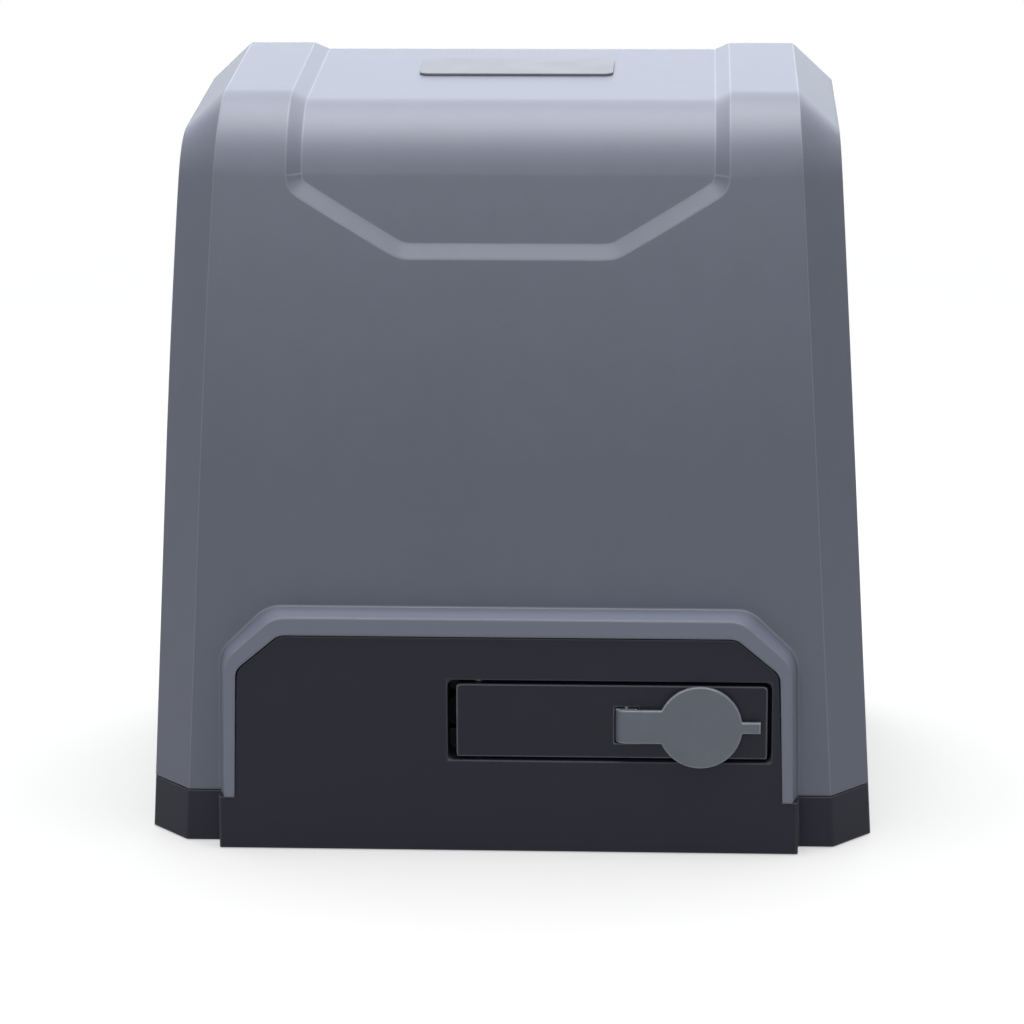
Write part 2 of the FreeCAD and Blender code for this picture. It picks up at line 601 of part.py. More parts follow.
def cover():
    outer = common("cover_form", envelope("cover_outside"), slab("cover_slice", "seam", "above"))
    crowned = cut("cover_crowned", outer, field_cutter("field", "0", "0"))
    foot = "seam - 4"
    surround = lean_front(loft(
        "surround_form",
        grown("surround_foot_half", foot, "surround_foot_half - 1.2",
              "opening_shoulder + surround_band - 0.7", "opening_top_half + 5.6",
              "opening_top + surround_band + surround_bevel + 1"), "0.6",
        grown("surround_ridge_half", foot, "surround_ridge_half - 1",
              "opening_shoulder + surround_band - 2.5", "opening_top_half + 2",
              "opening_top + surround_band + 1"), "-surround_proud"))
    trimmed = common("surround", surround, slab("surround_slice", "seam", "above"))
    cavity = cut("cover_cavity", envelope("cover_inside", "wall"),
                 field_cutter("inner_field", "wall", "wall/2"))
    opening = lean_front(plate("front_opening", opening_outline("0", "0"), "-30", "30"))
    rear = plate("rear_opening", rear_outline("fit_gap", "0"), "rear_plate_front - 24", "back_reach + 5")
    thicken = []
    notches = []
    for n, side in enumerate((1, -1)):
        def span(a, b, y, low, high, tag, side=side, n=n):
            ends = (a, b) if side > 0 else (f"-({b})", f"-({a})")
            return block(f"{tag}_{n}", (ends[0], f"-({y})", low), (ends[1], y, high))
        thicken.append(span("side_at_screw - wall - 4.4", "side_at_screw - 1",
                            "cover_screw_head + 4", "seam", "cover_screw_height + 12", "side_pad"))
        notches.append(span("side_at_screw - 3.7", "body_half + 5", "cover_screw_head + 0.8",
                            "0", "cover_screw_height", "head_channel"))
        notches.append(span("side_at_screw - 20", "body_half + 5", "cover_screw_radius + 0.6",
                            "0", "cover_screw_height", "shank_channel"))
        start = "side_at_screw - 3.7" if side > 0 else "-(side_at_screw - 3.7 + 20)"
        notches.append(rod(f"head_end_{n}", "cover_screw_head + 0.8", "20",
                           (start, 0, "cover_screw_height"), "x"))
        start = "side_at_screw - 20" if side > 0 else "-(side_at_screw + 5)"
        notches.append(rod(f"shank_end_{n}", "cover_screw_radius + 0.6", "25",
                           (start, 0, "cover_screw_height"), "x"))
    shell = cut("cover_shell", crowned, cavity)
    lugs = [block(f"lug_{n}", (f"lug_first + {n}*lug_pitch - lug_half", "back_reach - 26",
                               "field_floor - 2"),
                  (f"lug_first + {n}*lug_pitch + lug_half", "back_reach - 12",
                   "field_floor + (back_reach - 20 - crest_y)*tan(top_slope) + lug_height"))
            for n in range(4)]
    lug_trim = common("lugs", fuse("lug_set", *lugs), envelope("lug_limit"))
    return cut("cover_open", fuse("cover_solid", shell, trimmed, lug_trim, *thicken),
               opening, rear, *notches)


def badge():
    half, depth, corner = "badge_half", "(badge_depth/2)", "4"
    corners = [
        (f"{half} - {corner}", f"-{depth}", corner), (half, f"{corner} - {depth}"),
        (half, f"{depth} - {corner}", corner), (f"{half} - {corner}", depth),
        (f"{corner} - {half}", depth, corner), (f"-{half}", f"{depth} - {corner}"),
        (f"-{half}", f"{corner} - {depth}", corner), (f"{corner} - {half}", f"-{depth}"),
    ]
    blank = deck("badge_blank", corners, "0", "badge_thickness")
    thing = fuse("badge", blank, block("badge_core", ("-10", "-5", "0"), ("10", "5",
                                                                       "badge_thickness")))
    thing.Placement = Placement(Vector(0, 0, 1), Rotation(Vector(1, 0, 0), 1))
    thing.setExpression("Placement.Rotation.Angle", sized("top_slope"))
    thing.setExpression("Placement.Base.y", sized("badge_y"))
    thing.setExpression("Placement.Base.z",
                        sized("field_floor + (badge_y - crest_y)*tan(top_slope)"))
    return thing


node("cover", cover())
node("badge_plate", badge())


# ---------------------------------------------------------------- release lever, lock and cap
def release_lever():
    front = LEVER_FRONT
    slab_part = block("lever_slab", ("-lever_left", front, "lever_bottom"),
                      ("lever_right", f"{front} + lever_thickness", "lever_top"))
    relief = block("lever_relief", ("10 - hinge_x", f"{front} + 3", "lever_bottom + 3"),
                   ("cap_pin_x - 14", f"{front} + lever_thickness + 1", "lever_top - 3"))
    right_relief = block("lever_end_relief", ("lock_x + lock_radius + 2", f"{front} + 3",
                                              "lever_bottom + 3"),
                         ("lever_right - 3", f"{front} + lever_thickness + 1", "lever_top - 3"))
    heel_relief = block("lever_heel_relief", ("-lever_left - 1", f"{front} + 3",
                                              "lever_mid - head_radius - 1.5"),
                        ("-hinge_x", f"{front} + lever_thickness + 1",
                         "lever_mid + head_radius + 1.5"))
    cam_x, cam_y = "-hinge_x - cam_offset*cos(45)", f"{HINGE_Y} - cam_offset*sin(45)"
    cam = common("release_cam", rod("cam_disc", "cam_radius", "2*cam_half_height",
                                    (cam_x, cam_y, "lever_mid - cam_half_height")),
                 block("cam_limit", (f"{cam_x} - 9", f"{front} + 1", "lever_mid - 10"),
                       (f"{cam_x} + 9", f"{cam_y} + 9", "lever_mid + 10")))
    web = block("cam_web", ("-hinge_x - 2.6", f"{front} + 1", "lever_mid - cam_half_height - 2"),
                ("-hinge_x + 4", f"{HINGE_Y} + 2.4", "lever_mid + cam_half_height + 2"))
    lock_hole = rod("lever_lock_hole", "lock_radius", "lever_thickness + 6",
                    ("lock_x", f"{front} - 1", "lock_height"), "y")
    recess = block("cap_recess", ("cap_pin_x - cap_end_radius - 0.4", f"{front} - 1",
                                  "lock_height - cap_recess_half"),
                   ("cap_pin_x + cap_end_radius + 0.6",
                    f"{front} + cap_pin_sink + cap_end_radius + 0.4",
                    "lock_height + cap_recess_half"))
    pin_holes = rod("cap_pin_holes", "cap_pin_radius", "2*cap_recess_half + 6",
                    ("cap_pin_x", f"{front} + cap_pin_sink", "lock_height - cap_recess_half - 3"))
    bore = rod("lever_pin_hole", "pin_bore", "lever_top - lever_bottom + 20",
               ("-hinge_x", HINGE_Y, "lever_bottom - 10"))
    hollowed = cut("lever_hollowed", slab_part, relief, right_relief, heel_relief)
    return lean_front(cut("lever", fuse("lever_solid", hollowed, web, cam), lock_hole, recess,
                          pin_holes, bore))


LEVER_FRONT = "(lever_sink - panel_proud)"
HINGE_Y = "(hinge_sink - panel_proud)"
node("release_lever", release_lever())
node("lever_hinge_pin", lean_front(
    pin("lever_pin", "hinge_pin_radius", "pocket_top - pocket_bottom + 2*pin_bite",
        ("-hinge_x", HINGE_Y, "pocket_bottom - pin_bite"))))
node("lock_barrel", lean_front(tube("barrel", "lock_radius", "core_radius + core_clearance",
                                    "lock_length", ("lock_x", LEVER_FRONT, "lock_height"), "y")))
node("lock_core", lean_front(cut(
    "core", rod("core_rod", "core_radius", "lock_length + tongue_thickness",
                ("lock_x", LEVER_FRONT + " + 0.4", "lock_height"), "y"),
    block("keyway", ("lock_x - 0.8", LEVER_FRONT + " - 1", "lock_height - 4"),
          ("lock_x + 0.8", LEVER_FRONT + " + 6", "lock_height + 4")))))


def lock_tongue():
    start = LEVER_FRONT + " + lock_length + 0.4 + tongue_thickness"
    end = f"{start} + tongue_thickness"
    return lean_front(fuse(
        "tongue", block("tongue_bar", ("lock_x - tongue_width/2", start,
                                       "lock_height - tongue_length"),
                        ("lock_x + tongue_width/2", end, "lock_height")),
        rod("tongue_boss", "tongue_width/2", "tongue_thickness", ("lock_x", start, "lock_height"),
            "y")))


node("lock_tongue", lock_tongue())


def keyhole_cap():
    back = LEVER_FRONT + " - cap_gap"
    disc = rod("cap_disc", "cap_radius", "cap_thickness",
               ("lock_x", f"{back} - cap_thickness", "lock_height"), "y")
    tab = block("cap_tab", ("cap_pin_x", f"{back} - cap_thickness",
                            "lock_height - cap_tab_half"),
                ("lock_x - cap_radius + 3", back, "lock_height + cap_tab_half"))
    finger = block("cap_finger", ("lock_x + cap_radius - 2", f"{back} - cap_thickness",
                                  "lock_height - cap_finger_half"),
                   ("lock_x + cap_finger_reach", back, "lock_height + cap_finger_half"))
    knuckle = rod("cap_knuckle", "cap_end_radius", "2*cap_tab_half",
                  ("cap_pin_x", f"{LEVER_FRONT} + cap_pin_sink", "lock_height - cap_tab_half"))
    bore = rod("cap_bore", "cap_pin_radius + pin_clearance", "16",
               ("cap_pin_x", f"{LEVER_FRONT} + cap_pin_sink", "lock_height - 8"))
    return lean_front(cut("cap", fuse("cap_solid", disc, tab, finger, knuckle), bore))


node("keyhole_cap", keyhole_cap())
node("cap_hinge_pin", lean_front(
    pin("cap_pin", "cap_pin_radius", "2*cap_recess_half + 6",
        ("cap_pin_x", LEVER_FRONT + " + cap_pin_sink", "lock_height - cap_recess_half - 3"))))


# ---------------------------------------------------------------- gear outlines
def gear_wire(teeth, module, tip_radius, root_radius, half_tip, half_pitch, half_root):
    """A straight-flanked tooth outline from three half widths, given as angles."""
    pitch = teeth * module / 2
    points = []
    for n in range(teeth):
        middle = 2 * math.pi * n / teeth
        for radius, angle in ((root_radius, -half_root), (pitch, -half_pitch),
                              (tip_radius, -half_tip), (tip_radius, half_tip),
                              (pitch, half_pitch), (root_radius, half_root)):
            points.append(Vector(radius * math.cos(middle + angle),
                                 radius * math.sin(middle + angle), 0))
    return Part.makePolygon(points + points[:1])


def feature(name, shape, x, y, z, turn=None):
    """A sub-part whose shape comes from Part's own functions."""
    thing = doc.addObject("Part::Feature", name)
    thing.Shape = shape
    return place(thing, x, y, z, turn=turn)


def tooth_angles(module, pitch, play):
    """Half angles at tip, pitch and root of a tooth with 20 degree flanks."""
    lean = math.tan(math.radians(20))
    half = module * math.pi / 4 - play
    return ((half - module * lean) / (pitch + module), half / pitch,
            (half + 1.2 * module * lean) / (pitch - 1.2 * module))


def pinion():
    teeth, module = int(value("pinion_teeth")), value("pinion_module")
    pitch = teeth * module / 2
    wire = gear_wire(teeth, module, pitch + module, pitch - 1.25 * module,
                     *tooth_angles(module, pitch, 0.1))
    solid = Part.Face(wire).extrude(Vector(0, 0, value("pinion_width")))
    turned = feature("pinion_teeth_blank", solid, "output_x", "pinion_start", "output_height",
                     TURNS["y"])
    hub = rod("pinion_hub", "shaft_radius + 6", "4", ("output_x", "pinion_start - 3",
                                                      "output_height"), "y")
    bore = rod("pinion_bore", "shaft_radius", "pinion_width + 8",
               ("output_x", "pinion_start - 5", "output_height"), "y")
    way = block("pinion_keyway", ("output_x - key_width/2", "pinion_start - 5", "output_height"),
                ("output_x + key_width/2", "pinion_start + pinion_width + 1",
                 "output_height + shaft_radius + key_proud"))
    return cut("pinion_cut", fuse("pinion_solid", turned, hub), bore, way)


def worm_wheel():
    teeth, module = int(value("wheel_teeth")), value("worm_module")
    pitch, face = teeth * module / 2, value("wheel_face")
    worm_pitch = value("worm_pitch_radius")
    lead_angle = math.atan(module / (2 * worm_pitch))
    wire = gear_wire(teeth, module, pitch + module, pitch - 1.25 * module,
                     *tooth_angles(module, pitch, value("flank_play")))
    twist = face * math.tan(lead_angle) / pitch
    sections = []
    for share in (-0.5, 0, 0.5):
        section = wire.copy()
        section.rotate(Vector(), Vector(0, 0, 1), math.degrees(share * twist))
        section.translate(Vector(0, 0, share * face))
        sections.append(section)
    solid = Part.makeLoft(sections, True, True)
    turned = feature("wheel_teeth_blank", solid, "output_x", "wheel_mid_y", "output_height",
                     TURNS["y"])
    hub_start = "(clutch_start - 1 - wheel_hub_length)"
    hub = rod("wheel_hub", "wheel_hub_radius", "wheel_hub_length",
              ("output_x", hub_start, "output_height"), "y")
    bore = rod("wheel_bore", "shaft_radius + run_clearance", "wheel_hub_length + 2",
               ("output_x", f"{hub_start} - 1", "output_height"), "y")
    slots_cut = dogs("wheel_slot", "clutch_start - dog_length - 1.4", "clutch_start",
                     "dog_width/2 + dog_play", "shaft_radius + 1", "wheel_hub_radius + 1")
    return cut("wheel", fuse("wheel_solid", turned, hub), bore, *slots_cut)


def dogs(name, y_from, y_to, half, inner, outer):
    """Four radial keys about the output axis."""
    made = []
    for n, (axis, side) in enumerate((("x", 1), ("x", -1), ("z", 1), ("z", -1))):
        ends = (inner, outer) if side > 0 else (f"-({outer})", f"-({inner})")
        if axis == "x":
            low = (f"output_x + {ends[0]}", y_from, f"output_height - ({half})")
            high = (f"output_x + {ends[1]}", y_to, f"output_height + ({half})")
        else:
            low = (f"output_x - ({half})", y_from, f"output_height + {ends[0]}")
            high = (f"output_x + ({half})", y_to, f"output_height + {ends[1]}")
        made.append(block(f"{name}_{n}", low, high))
    return made


def worm_shaft():
    """The motor shaft with the worm cut on it: one start, right hand."""
    module, pitch_radius = value("worm_module"), value("worm_pitch_radius")
    lead, length = math.pi * module, value("worm_length")
    root, tip = pitch_radius - 1.2 * module, pitch_radius + module - 0.1
    lean = math.tan(math.radians(20))
    half = module * math.pi / 4 - value("flank_play")
    z_start = -length / 2 + lead / 2
    spine = Part.makeHelix(lead, length - lead, root)
    inner_half, outer_half = half + (pitch_radius - root) * lean, half - (tip - pitch_radius) * lean
    sunk = root - 0.6
    section = Part.makePolygon([
        Vector(sunk, 0, -inner_half - 0.6 * lean), Vector(tip, 0, -outer_half),
        Vector(tip, 0, outer_half), Vector(sunk, 0, inner_half + 0.6 * lean),
        Vector(sunk, 0, -inner_half - 0.6 * lean)])
    pipe = Part.BRepOffsetAPI.MakePipeShell(spine)
    pipe.setFrenetMode(True)
    pipe.add(section)
    pipe.build()
    pipe.makeSolid()
    thread = pipe.shape()
    thread.translate(Vector(0, 0, z_start))
    thread.rotate(Vector(), Vector(0, 0, 1), 360 * z_start / lead)
    core = Part.makeCylinder(root, length, Vector(0, 0, -length / 2))
    blank = feature("worm_thread", core.fuse(thread), "worm_x", "wheel_mid_y", "output_height")
    lower = rod("worm_lower_journal", "worm_journal_radius",
                "output_height - worm_length/2 + 1 - (floor_thickness + 5)",
                ("worm_x", "wheel_mid_y", "floor_thickness + 5"))
    upper_start = "(output_height + worm_length/2 - 1)"
    upper = rod("worm_upper_journal", "worm_journal_radius", f"shell_top + 14 - {upper_start}",
                ("worm_x", "wheel_mid_y", upper_start))
    return fuse("worm_and_shaft", blank, lower, upper)


# ---------------------------------------------------------------- gearing and clutch
AXIS = ("output_x", "output_height")


def on_axis(name, radius, y_from, y_to):
    """A cylinder on the output axis between two depths."""
    return rod(name, radius, f"({y_to}) - ({y_from})", (AXIS[0], y_from, AXIS[1]), "y")


def ring_on_axis(name, outer, inner, y_from, y_to):
    return cut(name, on_axis(name + "_outer", outer, y_from, y_to),
               on_axis(name + "_bore", inner, y_from, y_to))


SHAFT_END = "(pinion_start + pinion_width)"


def output_shaft():
    main = on_axis("shaft_main", "shaft_radius", "case_front + 0.4", SHAFT_END)
    journal = on_axis("shaft_journal", "front_journal_radius",
                      "case_front - gasket - front_bearing_width + 0.4", "case_front + 2")
    collar = on_axis("shaft_collar", "shaft_radius + 4", "case_front + 1",
                     "clutch_start - 1.4 - wheel_hub_length")
    bore = on_axis("shaft_bore", "bore_radius", "case_front - cover_plate - 2",
                   "clutch_start + clutch_length + clutch_travel + 4")
    slot = block("cross_slot", ("output_x - shaft_radius - 2",
                                "clutch_start + clutch_length/2 - cross_pin_radius - 0.3",
                                "output_height - cross_pin_radius - 0.2"),
                 ("output_x + shaft_radius + 2",
                  "clutch_start + clutch_length/2 + cross_pin_radius + clutch_travel + 0.5",
                  "output_height + cross_pin_radius + 0.2"))
    keyway = block("shaft_keyway", ("output_x - key_width/2", "pinion_start + 2",
                                    "output_height + shaft_radius - 4"),
                   ("output_x + key_width/2", f"{SHAFT_END} - 2", "output_height + 40"))
    tapped = on_axis("shaft_tapped_hole", "4", f"{SHAFT_END} - 20", f"{SHAFT_END} + 1")
    return cut("shaft", fuse("shaft_solid", main, journal, collar), bore, slot, keyway, tapped)


def clutch_ring():
    pin_y = "clutch_start + clutch_length/2"
    body = ring_on_axis("clutch_body", "clutch_radius", "shaft_radius + run_clearance",
                        "clutch_start", "clutch_start + clutch_length")
    teeth = common("clutch_dogs", fuse("clutch_dog_set", *dogs(
        "clutch_dog", "clutch_start - dog_length", "clutch_start + 1", "dog_width/2",
        "shaft_radius + 1.5", "clutch_radius + 1")),
        on_axis("dog_limit", "clutch_radius", "clutch_start - dog_length", "clutch_start + 1"))
    hole = rod("clutch_pin_hole", "cross_pin_radius", "3*clutch_radius",
               ("output_x - 1.5*clutch_radius", pin_y, "output_height"), "x")
    return cut("clutch", fuse("clutch_solid", body, teeth), hole)


def release_rod():
    pin_y = "clutch_start + clutch_length/2"
    stem = on_axis("rod_stem", "rod_radius", "-rod_front", f"{pin_y} + cross_pin_radius + 3")
    head = on_axis("rod_head", "head_radius", "-rod_front", "head_thickness - rod_front")
    hole = rod("rod_pin_hole", "cross_pin_radius", "30",
               ("output_x - 15", pin_y, "output_height"), "x")
    return cut("plunger", fuse("rod_solid", stem, head), hole)


def clutch_spring():
    """Helical spring between the clutch ring and the rear bearing."""
    wire, radius = value("spring_wire"), value("spring_radius")
    start = value("clutch_start + clutch_length")
    room = value("bearing_room") - start
    turns = 3
    length = room - 2 * wire - 0.4
    spine = Part.makeHelix(length / turns, length, radius)
    section = Part.Wire(Part.Circle(Vector(radius, 0, 0), Vector(0, 1, 0), wire).toShape())
    pipe = Part.BRepOffsetAPI.MakePipeShell(spine)
    pipe.setFrenetMode(True)
    pipe.add(section)
    pipe.build()
    pipe.makeSolid()
    return feature("spring_coil", pipe.shape(), "output_x",
                   "clutch_start + clutch_length + spring_wire + 0.2", "output_height",
                   TURNS["y"])


node("worm_wheel", worm_wheel())
node("worm_shaft", worm_shaft())
node("output_shaft", output_shaft())
node("pinion", pinion())
node("pinion_key", block("key", ("output_x - key_width/2", "pinion_start + 2",
                                 "output_height + shaft_radius - 4"),
                         ("output_x + key_width/2", f"{SHAFT_END} - 2",
                          "output_height + shaft_radius + key_proud")))
node("pinion_washer", ring_on_axis("washer", "shaft_radius + 5", "4.2", SHAFT_END,
                                   f"{SHAFT_END} + 2"))
node("pinion_bolt", fuse("pinion_bolt_solid",
                         on_axis("pinion_bolt_head", "6.5", f"{SHAFT_END} + 2",
                                 f"{SHAFT_END} + 7.5"),
                         on_axis("pinion_bolt_shank", "4", f"{SHAFT_END} - 18",
                                 f"{SHAFT_END} + 3")))
node("clutch_ring", clutch_ring())
node("cross_pin", rod("cross_pin_rod", "cross_pin_radius", "2*clutch_radius - 1",
                      ("output_x - clutch_radius + 0.5", "clutch_start + clutch_length/2",
                       "output_height"), "x"))
node("release_rod", release_rod())
node("clutch_spring", clutch_spring())


# ---------------------------------------------------------------- gearcase and bearings
def gearcase_body():
    box = block("case_box", ("case_left", "case_front", "floor_thickness"),
                ("case_right", "case_front + case_depth", "case_top"))
    nose = on_axis("case_nose", "nose_radius", "case_front + case_depth - 1", "nose_end")
    feet = [block(f"case_foot_{n}", (f"{x}", "case_front + 6", "floor_thickness"),
                  (f"{x} + 14", "case_front + case_depth - 6", "floor_thickness + 8"))
            for n, x in enumerate(("case_left - 13", "case_right - 1"))]
    foot_holes = [rod(f"case_foot_hole_{n}", "bolt_radius", "12",
                      (x, "case_front + case_depth/2", "floor_thickness - 1"))
                  for n, x in enumerate(("case_left - 6.5", "case_right + 6.5"))]
    wheel_room = on_axis("wheel_room_cut", "wheel_room", "case_front - 1",
                         "clutch_start + 2")
    clutch_room = on_axis("clutch_room_cut", "clutch_room", "clutch_start", "bearing_room - 2")
    passage = on_axis("spring_passage", "rear_bearing_radius - 3", "bearing_room - 3",
                      "bearing_room + 1")
    seat = on_axis("rear_seat", "rear_bearing_radius", "bearing_room",
                   "bearing_room + rear_bearing_width")
    seal_seat = on_axis("seal_seat", "seal_radius", "bearing_room + 1", "nose_end + 1")
    worm_bore = rod("worm_bore", "worm_bearing_radius - 2.5", "case_top",
                    ("worm_x", "wheel_mid_y", "floor_thickness + 6 + worm_bearing_width - 0.5"))
    lower_seat = rod("worm_lower_seat", "worm_bearing_radius", "worm_bearing_width",
                     ("worm_x", "wheel_mid_y", "floor_thickness + 6"))
    lower_room = rod("worm_lower_room", "worm_journal_radius + 3", "4",
                     ("worm_x", "wheel_mid_y", "floor_thickness + 3"))
    upper_seat = rod("worm_upper_seat", "worm_bearing_radius", "worm_bearing_width + 10",
                     ("worm_x", "wheel_mid_y", "case_top - worm_bearing_width - 6"))
    bolt_holes = [rod(f"case_bolt_hole_{n}", "bolt_radius", "12", (x, "case_front - 1", z), "y")
                  for n, (x, z) in enumerate(CASE_BOLTS)]
    return cut("case", fuse("case_solid", box, nose, *feet), wheel_room, clutch_room, passage,
               seat, seal_seat, worm_bore, lower_seat, lower_room, upper_seat, *foot_holes,
               *bolt_holes)


CASE_BOLTS = [("case_left + 6", "floor_thickness + 8"), ("case_left + 6", "case_top - 8"),
              ("case_right - 6", "floor_thickness + 8"), ("case_right - 6", "case_top - 8"),
              ("case_right - 6", "output_height - 1")]
PLATE_FRONT = "(case_front - gasket - cover_plate)"


def gearcase_cover():
    flat = block("case_plate", ("case_left", "case_front - gasket - 6", "floor_thickness"),
                 ("case_right", "case_front - gasket", "case_top"))
    boss = on_axis("front_boss", "front_bearing_radius + 5", PLATE_FRONT, "case_front - gasket")
    seat = on_axis("front_seat", "front_bearing_radius",
                   "case_front - gasket - front_bearing_width", "case_front + 1")
    mouth = on_axis("front_mouth", "front_journal_radius + 2", f"{PLATE_FRONT} - 1",
                    "case_front + 1")
    holes = [rod(f"plate_bolt_hole_{n}", "bolt_radius + 0.2", "20",
                 (x, "case_front - 15", z), "y") for n, (x, z) in enumerate(CASE_BOLTS)]
    return cut("plate_cut", fuse("plate_solid", flat, boss), seat, mouth, *holes)


def gearcase_gasket():
    sheet_part = block("gasket_sheet", ("case_left", "case_front - gasket", "floor_thickness"),
                       ("case_right", "case_front", "case_top"))
    hole = on_axis("gasket_hole", "wheel_room", "case_front - 2", "case_front + 1")
    holes = [rod(f"gasket_bolt_hole_{n}", "bolt_radius + 0.2", "6",
                 (x, "case_front - 3", z), "y") for n, (x, z) in enumerate(CASE_BOLTS)]
    return cut("gasket_cut", sheet_part, hole, *holes)


def gearcase_bolts():
    made = []
    for n, (x, z) in enumerate(CASE_BOLTS):
        head_front = "case_front - gasket - 6 - 4"
        made.append(fuse(f"case_bolt_{n}",
                         rod(f"case_bolt_head_{n}", "bolt_head_radius", "4",
                             (x, head_front, z), "y"),
                         rod(f"case_bolt_shank_{n}", "bolt_radius", "gasket + 6 + 4 + 9",
                             (x, head_front, z), "y")))
    for n, x in enumerate(("case_left - 6.5", "case_right + 6.5")):
        y = "case_front + case_depth/2"
        made.append(fuse(f"foot_bolt_{n}",
                         rod(f"foot_bolt_head_{n}", "bolt_head_radius", "4",
                             (x, y, "floor_thickness + 8")),
                         rod(f"foot_bolt_shank_{n}", "bolt_radius", "floor_thickness + 8",
                             (x, y, "3"))))
    return fuse("case_bolt_set", *made)


def bearing(name, outer, inner, start, width, axis):
    """A sealed ball bearing: both rings and the shields as one ring with face grooves."""
    blank = tube(name + "_ring", outer, inner, width, start, axis)
    step = f"(({outer}) - ({inner}))/4"
    grooves = []
    for n, share in enumerate(("- 1", f"+ ({width}) - 0.8")):
        move = {"y": (start[0], f"{start[1]} {share}", start[2]),
                "z": (start[0], start[1], f"{start[2]} {share}")}[axis]
        grooves.append(tube(f"{name}_groove_{n}", f"({outer}) - {step}", f"({inner}) + {step}",
                            "1.8", move, axis))
    return cut(name, blank, *grooves)


node("gearcase_body", gearcase_body())
node("gearcase_cover", gearcase_cover())
node("gearcase_gasket", gearcase_gasket())
node("gearcase_bolts", gearcase_bolts())
node("front_bearing", bearing("front_brg", "front_bearing_radius",
                              "front_journal_radius + run_clearance",
                              ("output_x", "case_front - gasket - front_bearing_width",
                               "output_height"), "front_bearing_width", "y"))
node("rear_bearing", bearing("rear_brg", "rear_bearing_radius", "shaft_radius + run_clearance",
                             ("output_x", "bearing_room", "output_height"),
                             "rear_bearing_width", "y"))
node("output_seal", ring_on_axis("oil_seal", "seal_radius", "shaft_radius + run_clearance",
                                 "bearing_room + rear_bearing_width", "nose_end"))
node("worm_lower_bearing", bearing("lower_brg", "worm_bearing_radius",
                                   "worm_journal_radius + run_clearance",
                                   ("worm_x", "wheel_mid_y", "floor_thickness + 6"),
                                   "worm_bearing_width", "z"))
node("worm_upper_bearing", bearing("upper_brg", "worm_bearing_radius",
                                   "worm_journal_radius + run_clearance",
                                   ("worm_x", "wheel_mid_y",
                                    "case_top - worm_bearing_width - 6"),
                                   "worm_bearing_width", "z"))
node("motor_shaft_seal", tube("motor_seal", "worm_bearing_radius",
                              "worm_journal_radius + run_clearance", "6",
                              ("worm_x", "wheel_mid_y", "case_top - 6")))


# ---------------------------------------------------------------- motor
def on_motor(name, radius, z_from, z_to):
    return rod(name, radius, f"({z_to}) - ({z_from})", ("worm_x", "wheel_mid_y", z_from))


def motor_square(name, z_from, z_to):
    """The square flange or cap of the motor, with its corners cut."""
    half, corner = "flange_half", "12"
    right = [(f"worm_x + {half} - {corner}", f"wheel_mid_y - {half}"),
             (f"worm_x + {half}", f"wheel_mid_y - {half} + {corner}"),
             (f"worm_x + {half}", f"wheel_mid_y + {half} - {corner}"),
             (f"worm_x + {half} - {corner}", f"wheel_mid_y + {half}"),
             (f"worm_x - {half} + {corner}", f"wheel_mid_y + {half}"),
             (f"worm_x - {half}", f"wheel_mid_y + {half} - {corner}"),
             (f"worm_x - {half}", f"wheel_mid_y - {half} + {corner}"),
             (f"worm_x - {half} + {corner}", f"wheel_mid_y - {half}")]
    return deck(name, right, z_from, z_to)


TIE_PLACES = [(f"worm_x + {sx}*tie_offset", f"wheel_mid_y + {sy}*(tie_offset - 4)")
              for sx, sy in SLOT_SIDES]
FLANGE_TOP = "(case_top + flange_thickness)"
CAP_TOP = "(shell_top + cap_height)"


def motor_flange():
    rim = on_motor("flange_rim", "shell_radius - shell_wall", FLANGE_TOP + " - 1",
                   FLANGE_TOP + " + 3")
    hole = on_motor("flange_hole", "worm_journal_radius + 2", "case_top - 1", FLANGE_TOP + " + 4")
    dish = on_motor("flange_dish", "shell_radius - shell_wall - 4", FLANGE_TOP, FLANGE_TOP + " + 4")
    ties = [rod(f"flange_tie_{n}", "tie_radius", "flange_thickness + 2", (x, y, "case_top - 1"))
            for n, (x, y) in enumerate(TIE_PLACES)]
    return cut("flange", fuse("flange_solid", motor_square("flange_plate", "case_top",
                                                           FLANGE_TOP), rim),
               hole, dish, *ties)


def motor_cap():
    plate_part = motor_square("cap_plate", "shell_top", "shell_top + 8")
    dome = cone("cap_dome", "shell_radius - 2", "shell_radius - 12", "cap_height - 8",
                ("worm_x", "wheel_mid_y", "shell_top + 8"))
    room = on_motor("cap_room", "shell_radius - 14", "shell_top - 1", "shell_top + 2")
    seat = on_motor("cap_seat", "worm_bearing_radius", "shell_top", "shell_top + 2 + worm_bearing_width")
    tip = on_motor("cap_shaft_room", "worm_journal_radius + 2", "shell_top", "shell_top + 17")
    ties = [rod(f"cap_tie_{n}", "tie_radius", "12", (x, y, "shell_top - 1"))
            for n, (x, y) in enumerate(TIE_PLACES)]
    grooves = [tube(f"cap_groove_{n}", f"shell_radius - 12 - {n}*7", f"shell_radius - 15 - {n}*7",
                    "4", ("worm_x", "wheel_mid_y", CAP_TOP + " - 2.5")) for n in range(3)]
    return cut("motor_cap_cut", fuse("motor_cap_solid", plate_part, dome), room, seat, tip,
               *ties, *grooves)


def tie_bolts():
    made = []
    for n, (x, y) in enumerate(TIE_PLACES):
        made.append(fuse(f"tie_{n}",
                         rod(f"tie_shank_{n}", "tie_radius", "shell_top + 8 - case_top",
                             (x, y, "case_top")),
                         rod(f"tie_head_{n}", "tie_radius + 2", "4",
                             (x, y, "shell_top + 8"))))
    return fuse("tie_bolt_set", *made)


